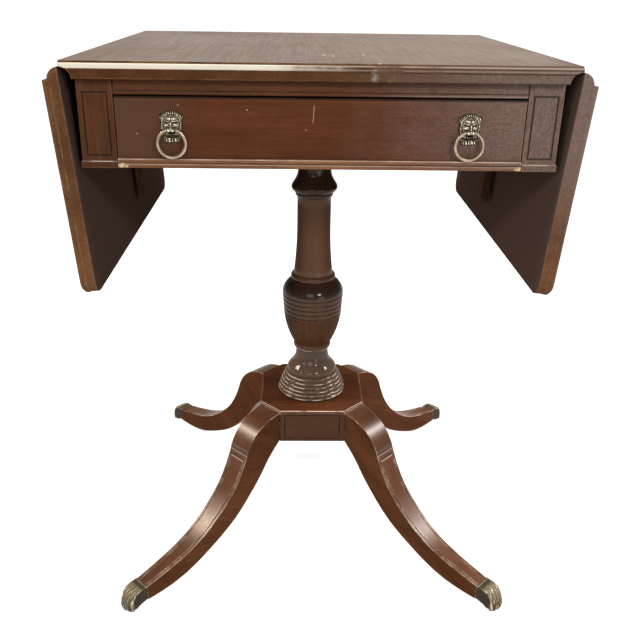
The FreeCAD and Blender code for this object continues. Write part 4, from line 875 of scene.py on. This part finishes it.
LEG_TONES = [(0.054, 0.019, 0.008), (0.080, 0.030, 0.013), (0.110, 0.044, 0.020)]
for corner, heading in LEG_HEADINGS.items():
    slope = (0.0, -LEG_SLOPE, -math.radians(heading))
    leg_finish = wood(corner + "_leg_finish", slope, LEG_TONES, coat=0.60, haze=0.30, rub=1.0,
                      wear=(0.64, 0.49, 0.37), marks=shin_line(heading), bare=dull_sides(heading))
    dress(leg_finish, [corner + "_leg"])

# %% [markdown]
# Inside, the drawer box, runners and bearer are plain pale wood without lacquer. Hinges and screws are dull
# steel, and the leaf stays are browned, so that they hardly show. The wood helper serves again; steel needs
# only clouds of rust and fine scratches.


# %% Inner wood and steel
def steel(name, colour, roughness, metallic=1.0):
    """Dull steel: metal, or a brown lacquer over it, with fine scratches and rusty clouds."""
    material, surface = start_material(name)
    place = add("TexCoord", 3)
    clouds = step(noise(place, 60.0, 5.0, 0.65), 0.48, 0.68, 0.0, 0.7)
    scratch = noise(scaled(place, (900.0, 30.0, 900.0)))
    shade = mixed(clouds, colour, (0.10, 0.055, 0.035))
    rough = step(scratch, 0.3, 0.7, roughness - 0.08, roughness + 0.12)
    dents = add("Bump", inputs={"Strength": 0.2, "Distance": 0.0001, "Height": scratch})
    feed(surface, {"Base Color": shade, "Roughness": rough, "Normal": dents})
    feed(surface, {"Metallic": metallic, "Specular IOR Level": 0.5 * metallic})
    return material


INNER_TONES = [(0.27, 0.16, 0.080), (0.36, 0.225, 0.120), (0.45, 0.295, 0.165)]
inner_x = wood("inner_wood_across", ALONG_X, INNER_TONES, coat=0.05, haze=0.5, rub=0.2, corner_shade_and_grime=0.5)
inner_y = wood("inner_wood_along", ALONG_Y, INNER_TONES, coat=0.05, haze=0.5, rub=0.2, corner_shade_and_grime=0.5)
dress(inner_x, ["drawer_back", "drawer_bottom", "column_bearer", "leg_dowels"])
dress(inner_y, [name.format(side) for side in SIDES for name in ("drawer_{}_side", "{}_runner", "{}_kicker")])
STEEL_WORDS = ("screws", "hinge", "bolt", "stay_pins")
steel_names = [name for name in nodes if any(word in name for word in STEEL_WORDS)]
dress(steel("plain_steel", (0.32, 0.30, 0.28), 0.42), sorted(steel_names))
stay_names = [side + "_stay_" + part for side in SIDES for part in ("arm", "bracket")]
dress(steel("browned_steel", (0.060, 0.034, 0.020), 0.65, 0.0), stay_names)

# %% [markdown]
# The pulls and the paw caps are cast brass gone dull: dark in the hollows, olive on the flats, and rubbed
# to a pale shine on whatever stands proud. Each brass mesh carries that as a number per point, called rub,
# which its own shape gives: how far a point stands above the places around it. The rings, handled most, are
# a redder shade.


# %% Brass finish
def old_brass(name, flat, bright):
    """Brass whose colour and gloss follow the rub value of the mesh: dark, then flat, then bright."""
    material, surface = start_material(name)
    rub = add("Attribute", 2, attribute_name="rub")
    speckle = noise(add("TexCoord", 3), 420.0, 4.0, 0.6)
    level = calc("ADD", rub, times(minus(speckle, 0.5), 0.35), clamp=True)
    open_air = add("AmbientOcclusion", 1, {"Distance": 0.004}, samples=8)
    level = times(level, step(open_air, 0.25, 0.75, 0.25, 1.0))
    stops = [(0.0, (0.030, 0.024, 0.015)), (0.35, (0.14, 0.115, 0.070)), (0.62, flat), (1.0, bright)]
    rough = step(level, 0.1, 0.9, 0.62, 0.28)
    metal = step(level, 0.05, 0.4, 0.35, 1.0)
    dents = add("Bump", inputs={"Strength": 0.3, "Distance": 0.0002, "Height": speckle})
    feed(surface, {"Base Color": tones(level, stops), "Roughness": rough, "Metallic": metal})
    feed(surface, {"Normal": dents, "Specular IOR Level": 0.15})
    return material


cast_brass = old_brass("cast_brass", (0.38, 0.33, 0.238), (0.86, 0.79, 0.66))
ring_brass = old_brass("ring_brass", (0.34, 0.262, 0.198), (0.80, 0.665, 0.55))
print("brass:", cast_brass.name, "and", ring_brass.name)

# %% [markdown]
# Every brass piece is a skin over a stack of loops of points: around a face, along a wire, down a paw.
# Modelling by hand would give one piece; loops worked out by a formula give all of them, closed, and the
# same each time.


# %% Skin over loops
def closing_faces(ring, order, apex, folded):
    """Faces that close an end loop: a fan to a point, or folded, each point joined to the one opposite it."""
    if folded:
        near, far = ring[:len(ring) // 2], ring[::-1][:len(ring) // 2]
        return np.stack([near[1:], near[:-1], far[:-1], far[1:]], axis=1)[:, ::order].tolist()
    return np.stack([np.full(len(ring), apex), np.roll(ring, -1), ring][::order], axis=1).tolist()


def signed_volume(points, quads):
    """Volume inside a skin, times six; below zero where its faces look inward."""
    corner = points[quads] - points.mean(axis=0)
    first, second, third = (corner[:, k] - corner[:, 0] for k in (1, 2, 3))
    return (corner[:, 0] * (np.cross(first, second) + np.cross(second, third))).sum()


def skin(name, loops, rub, ends=(), wrap=False, folded=False, finish=cast_brass):
    """Closed skin over loops of points: point j of loop i joins point j + 1 and loop i + 1. The first and the
    last loop close on the two points in ends or are folded shut; with wrap they join each other."""
    count, around, _ = loops.shape
    index = np.arange(count * around).reshape(count, around)
    here = index if wrap else index[:-1]
    there = np.roll(index, -1, axis=0) if wrap else index[1:]
    quads = np.stack([here, np.roll(here, -1, 1), np.roll(there, -1, 1), there], axis=-1).reshape(-1, 4)
    points = np.vstack([loops.reshape(-1, 3), *ends])
    rubs = np.append(rub, [rub[k].mean() for k in (0, -1)[:len(ends)]])
    faces = quads.tolist()
    if len(ends) or folded:
        faces += closing_faces(index[0], 1, index.size, folded)
        faces += closing_faces(index[-1], -1, index.size + 1, folded)
    if signed_volume(points, quads) < 0:
        faces = [face[::-1] for face in faces]
    mesh = bpy.data.meshes.new(name)
    mesh.from_pydata(points.tolist(), [], faces)
    mesh.polygons.foreach_set("use_smooth", np.ones(len(mesh.polygons), bool))
    mesh.attributes.new("rub", "FLOAT", "POINT").data.foreach_set("value", rubs.astype(np.float32))
    mesh.materials.append(finish)
    mesh.update()
    piece = bpy.data.objects.new(name, mesh)
    scene.collection.objects.link(piece)
    return piece


print("a skin can be made")

# %% [markdown]
# A lion's mask holds each ring in its mouth. It is a relief: one depth for every place on the face, so it
# can be written as a sum of smooth hills and hollows over a flat outline: brow, eyes, nose, muzzle, mane
# and beard. Sculpting would be freer, but a sum can be read and changed. Places are in millimetres from the
# ring's pivot.

# %% The lion's face and mane
PULL_X = 0.166
PIVOT_Y = -0.2552
PIVOT_Z = 0.678
BAR_DEPTH = (FACE_Y - PIVOT_Y) / MM
BAR_BORE = 1.62
EAR = (12.0, 15.5)


def hill(x, z, at, size, lean=0.0):
    """Smooth hill of height 1: exp(-(u/su)^2 - (v/sv)^2), with u, v turned by lean degrees."""
    c, s = math.cos(math.radians(lean)), math.sin(math.radians(lean))
    u = (x - at[0]) * c + (z - at[1]) * s
    v = (z - at[1]) * c - (x - at[0]) * s
    return np.exp(-(u / size[0]) ** 2 - (v / size[1]) ** 2)


def lion_face(x, z):
    """Depth of the face at x, z from the ring's pivot: a dome plus hills for brow, eyes, nose, jaws."""
    side = np.abs(x)
    depth = 2.4 + 4.6 * hill(x, z, (0, 7.0), (9.0, 9.5))
    depth += 1.7 * hill(side, z, (3.0, 12.8), (2.7, 2.0)) - 0.9 * hill(x, z, (0, 12.6), (0.7, 2.8))
    depth += 2.1 * hill(side, z, (4.8, 9.7), (3.2, 0.9), 10)
    depth -= 2.6 * hill(side, z, (4.9, 7.8), (2.4, 0.75), 8)
    depth += 3.2 * hill(x, z, (0, 7.4), (1.4, 3.4)) + 4.4 * hill(x, z, (0, 3.5), (2.2, 1.7))
    depth += 1.6 * hill(side, z, (6.2, 4.8), (2.5, 1.3), 28)
    depth += 4.6 * hill(x, z, (0, -5.0), (2.5, 1.1)) - 2.6 * hill(x, z, (0, -3.3), (3.6, 0.7))
    depth -= 1.4 * hill(side, z, (7.6, -4.6), (2.6, 3.0))
    return depth - 2.2 * hill(x, z, (0, -7.7), (9.0, 1.3))


def from_ear(x, z):
    """Distance from the middle of the nearer ear."""
    return np.hypot(np.abs(x) - EAR[0], z - EAR[1])


def lion_mane(x, z):
    """Relief of the hair: ridges along the rim, upright locks on top, hooked ears, a beard in locks."""
    spread = np.hypot(x / 9.6, (z - 6.5) / 10.8)
    turn = np.arctan2(x, z - 4.0)
    band = np.clip((spread - 0.97) / 0.10, 0.0, 1.0) * (z > -6.0)
    relief = 0.45 * band * np.cos(2.0 * np.pi * (5.5 * spread + 0.3 * np.sin(9.0 * turn)))
    relief -= 1.0 * np.exp(-((spread - 0.95) / 0.06) ** 2) * (z > -5.0)
    relief += 0.8 * np.clip(z - 16.3, 0.0, 1.0) * np.cos(2.0 * np.pi * x / 2.3)
    ear = from_ear(x, z)
    relief += 2.9 * np.exp(-((ear - 1.7) / 0.7) ** 2) - 0.6 * np.exp(-(ear / 1.0) ** 2)
    beard = np.clip((-8.8 - z) / 1.2, 0.0, 1.0)
    locks = np.cos(2.0 * np.pi * (x / 3.3 + 0.16 * np.sin(1.1 * x)) + 0.25 * (z + 9.0))
    return relief + beard * (1.1 * locks + 0.9 * np.exp(-((z + 12.8) / 1.3) ** 2))


def lion_relief(x, z):
    """Face and hair together."""
    return lion_face(x, z) + lion_mane(x, z)


def lion_depth(x, z):
    """Whole relief, held back where the ring's wire swings and behind its bar."""
    depth = np.maximum(lion_relief(x, z), 0.8)
    side = np.abs(x)
    swing = (side > 4.5) & (z < 3.0)
    depth = np.where(swing, np.minimum(depth, 5.6 + 3.0 * np.clip(z - 2.4, 0.0, 1.0)), depth)
    return np.where((side <= 4.5) & (np.abs(z) < 1.8), np.minimum(depth, BAR_DEPTH - BAR_BORE), depth)


def proud(shape, x, z, reach=0.9):
    """How far a shape stands above its average at eight places around, in millimetres."""
    turn = np.arange(8) * np.pi / 4.0
    around = sum(shape(x + reach * c, z + reach * s) for c, s in zip(np.cos(turn), np.sin(turn)))
    return shape(x, z) - around / 8.0


print("the lion's nose stands out", round(float(lion_relief(0.0, 3.5)), 1), "mm")

# %% [markdown]
# The grid of the mask is polar, because a mask is round and its rim then follows the outline exactly. The
# ring's bar runs through the muzzle, and a relief can't have a hole behind its front, so the muzzle is a
# second skin over the bar.

# %% Lion masks
MASK_MIDDLE = 3.2
SNOUT_HALF = 2.9
SNOUT_WIDE = 4.45
SNOUT_ROOT = 3.0
RIM_ANGLES = [-90.0, -70.0, -61.0, -52.0, -40.0, 0.0, 22.0, 33.0, 38.0, 42.0, 47.0, 52.0, 60.0, 75.0, 90.0]
RIM_REACH = [17.6, 18.2, 18.6, 14.6, 11.8, 11.7, 12.0, 13.6, 17.2, 18.7, 18.2, 16.6, 17.2, 17.0, 16.8]


def lion_outline(turn):
    """Radius of the mask's edge about its middle, by angle from the horizontal, the same on both sides."""
    angle = np.degrees(np.arcsin(np.sin(turn)))
    reach = np.interp(angle, RIM_ANGLES, RIM_REACH)
    reach = np.convolve(np.pad(reach, 2, mode="wrap"), np.ones(5) / 5.0, "valid")
    return reach + 0.25 * np.cos(40.0 * turn)


def mask_rub(x, z):
    """Paleness of the mask: what stands proud and the ears, less the hollows by face and beard."""
    side = np.abs(x)
    rub = 0.57 + 0.85 * proud(lion_relief, x, z) - 0.45 * hill(x, z, (0, -7.6), (11.0, 1.8))
    rub = rub + 0.45 * np.exp(-((from_ear(x, z) - 1.3) / 0.9) ** 2)
    rub = rub - 0.20 * hill(side, z, (11.5, 5.0), (2.2, 7.0)) - 0.30 * hill(side, z, (8.5, -3.5), (3.0, 4.0))
    return np.clip(rub, 0.0, 1.0)


def on_drawer(centre_x, x, depth, z):
    """Points on the drawer front, from millimetres beside, before and above the pivot of a ring."""
    return np.stack([centre_x + x * MM, FACE_Y - depth * MM, PIVOT_Z + z * MM], axis=-1)


def lion_mask(name, centre_x):
    """Polar grid from the middle of the face to its rim, then back to the drawer front."""
    turn = np.linspace(0.0, 2.0 * np.pi, 289)[:-1]
    share = np.linspace(0.02, 1.0, 96)[:, None]
    reach = lion_outline(turn)[None, :] * share
    x = reach * np.cos(turn)
    z = MASK_MIDDLE + reach * np.sin(turn)
    depth = lion_depth(x, z) * (0.3 + 0.7 * np.sqrt(np.clip((1.0 - share) / 0.04, 0.0, 1.0)))
    front = on_drawer(centre_x, x, depth, z)
    back = front[-1:].copy()
    back[..., 1] = FACE_Y
    rub = mask_rub(x, z)
    middle_x, middle_z = np.array(0.0), np.array(MASK_MIDDLE)
    ends = [on_drawer(centre_x, middle_x, d, middle_z) for d in (lion_depth(middle_x, middle_z), middle_x)]
    return skin(name, np.concatenate([front, back]), np.concatenate([rub, rub[-1:] * 0.5]), ends)


def muzzle(x, z):
    """Depth of the muzzle over the bar: a dome with two pads, a lip line and the nose above."""
    side = np.abs(x)
    dome = 0.75 + 3.3 * np.sqrt(np.clip(1.0 - (x / 4.95) ** 2 - (z / 3.4) ** 2, 0.0, 1.0))
    dome = dome + 0.9 * hill(side, z, (2.7, 0.1), (1.2, 1.4), -30) - 1.5 * hill(x, z, (0, -2.0), (2.0, 1.1))
    dome = dome + 1.2 * hill(x, z, (0, 2.3), (2.0, 0.9)) - 0.9 * hill(side, z, (1.2, 1.4), (0.5, 0.4))
    return BAR_DEPTH + dome


def lion_snout(name, centre_x):
    """Muzzle over the bar: for each x a closed loop, down the face and back up round the bar's bore."""
    x = np.linspace(-SNOUT_WIDE, SNOUT_WIDE, 61)[:, None]
    z = np.linspace(SNOUT_HALF, -SNOUT_HALF, 55)[None, :]
    full = np.sqrt(np.clip((SNOUT_HALF - np.abs(z)) / 0.8, 0.0, 1.0))
    outer = muzzle(x, z) * full + (lion_face(x, z) - 0.6) * (1.0 - full)
    half_turn = np.linspace(-np.pi / 2, np.pi / 2, 45)
    foot = np.linspace(-SNOUT_HALF, -BAR_BORE, 5)
    bore_z = np.concatenate([foot, BAR_BORE * np.sin(half_turn), -foot[::-1]])
    bore = np.pad(BAR_DEPTH + BAR_BORE * np.cos(half_turn), 5, constant_values=SNOUT_ROOT)
    depth = np.concatenate([outer, np.broadcast_to(bore, outer.shape)], axis=1)
    height = np.broadcast_to(np.append(z[0], bore_z), depth.shape)
    rub = 0.42 + 0.50 * proud(muzzle, x, z) + 0.40 * hill(np.abs(x), z, (2.7, 0.4), (1.2, 1.5), -30)
    rub = rub + 0.40 * hill(x, z, (0, 2.4), (1.3, 1.0)) - 0.35 * hill(x, z, (0, -2.2), (3.5, 1.1))
    rub = np.concatenate([rub, np.full(outer.shape, 0.1)], axis=1)
    loops = on_drawer(centre_x, np.broadcast_to(x, depth.shape), depth, height)
    return skin(name, loops, np.clip(rub, 0.0, 1.0), folded=True)


for side, sign in SIDES.items():
    mask = lion_mask(side + "_lion_mask", sign * PULL_X)
    snout = lion_snout(side + "_lion_snout", sign * PULL_X)
    for piece in (mask, snout):
        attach(piece, "drawer")
        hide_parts(side + "_pull_mask")
        print(piece.name, len(piece.data.polygons), "faces")

# %% [markdown]
# The ring is a round wire bent to a hoop; its top is a straight bar that turns in the lion's mouth. A torus
# would have no bar, so it is a tube along a closed path. The path lies in one plane, so the tube's two
# directions are the path's normal and Y.

# %% Rings
RING_MEAN = 15.45
BAR_HALF = 5.3
WIRE_RADIUS = 1.95
BAR_RADIUS = 1.5
ARC_POINTS = 181
BAR_POINTS = 12


def pull_ring(name, centre_x):
    """Tube of 24 sides along an arc about the hoop's centre and the straight bar that closes it."""
    drop = math.sqrt(RING_MEAN ** 2 - BAR_HALF ** 2)
    gap = math.asin(BAR_HALF / RING_MEAN)
    turn = np.linspace(math.pi / 2 + gap, 2.5 * math.pi - gap, ARC_POINTS)
    arc = np.stack([RING_MEAN * np.cos(turn), RING_MEAN * np.sin(turn) - drop], axis=1)
    bar = np.stack([np.linspace(BAR_HALF, -BAR_HALF, BAR_POINTS + 2)[1:-1], np.zeros(BAR_POINTS)], axis=1)
    path = np.concatenate([arc, bar])
    thick = np.repeat([WIRE_RADIUS, BAR_RADIUS], [ARC_POINTS, BAR_POINTS])[:, None]
    heading = np.roll(path, -1, axis=0) - np.roll(path, 1, axis=0)
    heading /= np.linalg.norm(heading, axis=1, keepdims=True)
    around = np.linspace(0.0, 2.0 * np.pi, 25)[:-1]
    spread = thick * np.cos(around)
    x = centre_x + (path[:, :1] + heading[:, 1:] * spread) * MM
    y = PIVOT_Y + thick * np.sin(around) * MM
    z = PIVOT_Z + (path[:, 1:] - heading[:, :1] * spread) * MM
    rub = 0.56 + 0.20 * np.cos(around)[None, :] + 0.05 * np.sin(0.17 * np.arange(len(path)))[:, None]
    return skin(name, np.stack([x, y, z], axis=-1), rub, wrap=True, finish=ring_brass)


for side, sign in SIDES.items():
    ring = pull_ring(side + "_ring_wire", sign * PULL_X)
    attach(ring, side + "_ring")
    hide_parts(side + "_pull_ring")
    print(ring.name, len(ring.data.polygons), "faces")

# %% [markdown]
# Each leg ends in a cast paw: a ridge at the collar, a plain band, then locks of hair that fan out over a
# rounded front down to the toes. The front is one curve carried across the width of the foot, pulled back
# towards the sides, and the hair is added to it as a height along its normal, because strands modelled one
# by one would be far more work.

# %% Hair and front of a paw
CAP_START = 347.5
CAP_HALF = 13.0
CAP_ROWS = 150
CAP_COLUMNS = 110
COLLAR_RIDGE = 2.2
CAP_TOP = np.array([(0.0, 31.0), (5.2, 31.6), (13.3, 31.0), (21.0, 28.0), (27.6, 22.2), (32.4, 15.2),
                    (34.4, 9.0), (33.4, 3.2), (30.6, 0.9)])
CAP_SOLE = np.array([(0.0, 6.0), (4.0, 5.0), (8.5, 3.9), (14.0, 2.5), (20.0, 1.0), (24.0, 0.0), (26.5, 0.0),
                     (28.5, 0.0), (30.0, 0.4)])


def smooth_path(points, count):
    """Points spread evenly along a path, its corners rounded by a running mean, and their run along it."""
    reach = np.append(0.0, np.cumsum(np.hypot(*np.diff(points, axis=0).T)))
    even = np.linspace(0.0, reach[-1], count)
    path = np.stack([np.interp(even, reach, points[:, k]) for k in (0, 1)], axis=1)
    for _ in range(3):
        inner = np.stack([np.convolve(path[:, k], np.ones(9) / 9, "valid") for k in (0, 1)], axis=1)
        path = np.concatenate([path[:4], inner, path[-4:]])
    return path, even


def hair(run, across):
    """Height and paleness of the hair: wavy strands that fan out, each highest on its middle line."""
    fan = across / (0.66 + 0.34 * np.clip(run / 44.0, 0.0, 1.0))
    strand = fan / 2.7 + 0.30 * np.sin(run / 5.0 + 1.9 * np.sin(fan / 3.3))
    number = np.floor(strand)
    ridge = 1.0 - np.abs(2.0 * (strand - number) - 1.0) ** 1.7
    lock = 0.5 + 0.5 * np.sin(run / 3.4 + 2.4 * number)
    begin = np.clip((run - 8.0) / 3.0, 0.0, 1.0)
    toes = 1.0 - 0.7 * np.clip((run - 36.0) / 5.0, 0.0, 1.0) * (np.cos(2.0 * np.pi * across / 6.5) < -0.3)
    return begin * ridge * (0.7 + 0.4 * lock), begin * toes * (0.05 + ridge ** 1.3 * (0.30 + 0.30 * lock))


def paw_front():
    """Grid of the hairy front, its rub, and how far each row is pulled back at its sides: the path across the
    width, times the pull of a round toe, plus collar ridge and hair along the normal."""
    top, run = smooth_path(CAP_TOP, CAP_ROWS)
    run = run[:, None]
    v = np.linspace(-1.0, 1.0, CAP_COLUMNS)
    tip = 22.0 + np.sqrt(13.05 ** 2 - (CAP_HALF * v) ** 2)
    pull = 1.0 - (1.0 - tip / 35.05) * np.clip(top[:, :1] / 35.0, 0.0, 1.0) ** 3
    corner = np.clip((np.abs(v) - 0.86) / 0.14, 0.0, 1.0)
    r = top[:, :1] * pull
    z = top[:, 1:] - 1.6 * (1.0 - np.sqrt(1.0 - corner ** 2 * 0.98)) * np.clip(top[:, 1:] / 12.0, 0.0, 1.0)
    sheet = np.stack([r, np.broadcast_to(CAP_HALF * v, r.shape), z], axis=-1)
    out = np.cross(np.gradient(sheet, axis=1), np.gradient(sheet, axis=0))
    out /= np.linalg.norm(out, axis=-1, keepdims=True) + 1e-12
    out *= np.sign(out[CAP_ROWS // 3, CAP_COLUMNS // 2, 2])
    strands, pale = hair(run, CAP_HALF * v[None, :])
    relief = strands + 0.8 * np.exp(-((run - COLLAR_RIDGE) / 1.0) ** 2) - 0.5 * (run > 3.6)
    calm = np.clip((1.0 - np.abs(v)) / 0.05, 0.0, 1.0) * np.clip((run[-1] - run) / 3.0, 0.0, 1.0)
    rim = np.exp(-((np.abs(v) - 0.96) / 0.03) ** 2)[None, :]
    rub = 0.06 + pale + 0.40 * np.exp(-((run - COLLAR_RIDGE) / 0.9) ** 2) + 0.25 * rim
    return sheet + out * (relief * calm)[..., None], rub, pull[:, :1]


print("the paw's front runs", round(float(smooth_path(CAP_TOP, CAP_ROWS)[1][-1]), 1), "mm")

# %% [markdown]
# The cap goes on round the foot: flat sides fall from the front's edges to a narrower sole. One paw is
# worked out and turned to each leg's heading.

# %% Paw caps
def paw_wall(edge, sole, pull, sign):
    """Side of the paw: from the front's edge down to the sole, drawn in by a quarter round below."""
    fall = np.linspace(0.0, 1.0, 16)[1:]
    low = sole[:, None, 1]
    z = edge[:, None, 2] + (low - edge[:, None, 2]) * fall
    inset = 4.5 * (1.0 - np.sqrt(np.clip(1.0 - np.clip((6.0 - (z - low)) / 6.0, 0.0, 1.0) ** 2, 0.0, 1.0)))
    r = edge[:, None, 0] + (sole[:, None, 0] * pull - edge[:, None, 0]) * fall
    return np.stack([r, sign * (CAP_HALF - inset), z], axis=-1)


def paw_cap(name, heading):
    """Loops from the collar to the toes: hairy front, flat sides and a sole with rounded edges."""
    sheet, rub, pull = paw_front()
    sole, _ = smooth_path(CAP_SOLE, CAP_ROWS)
    right = paw_wall(sheet[:, -1], sole, pull, 1.0)
    left = paw_wall(sheet[:, 0], sole, pull, -1.0)
    across = np.linspace(0.0, 1.0, 10)[1:-1][None, :, None]
    under = right[:, -1:] + (left[:, -1:] - right[:, -1:]) * across
    loops = np.concatenate([sheet, right, under, left[:, ::-1]], axis=1)
    rubs = np.pad(rub, ((0, 0), (0, loops.shape[1] - CAP_COLUMNS)))
    c, s = math.cos(math.radians(heading)), math.sin(math.radians(heading))
    reach, side = CAP_START + loops[..., 0], loops[..., 1]
    x, y = reach * c - side * s, reach * s + side * c
    world = np.stack([x, y, np.maximum(loops[..., 2], 0.0)], axis=-1) * MM
    return skin(name, world, np.clip(rubs, 0.0, 1.0), [world[0].mean(axis=0), world[-1].mean(axis=0)])


for corner, heading in LEG_HEADINGS.items():
    cap = paw_cap(corner + "_paw", heading)
    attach(cap, "case")
    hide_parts(corner + "_paw_cap")
    print(cap.name, len(cap.data.polygons), "faces")
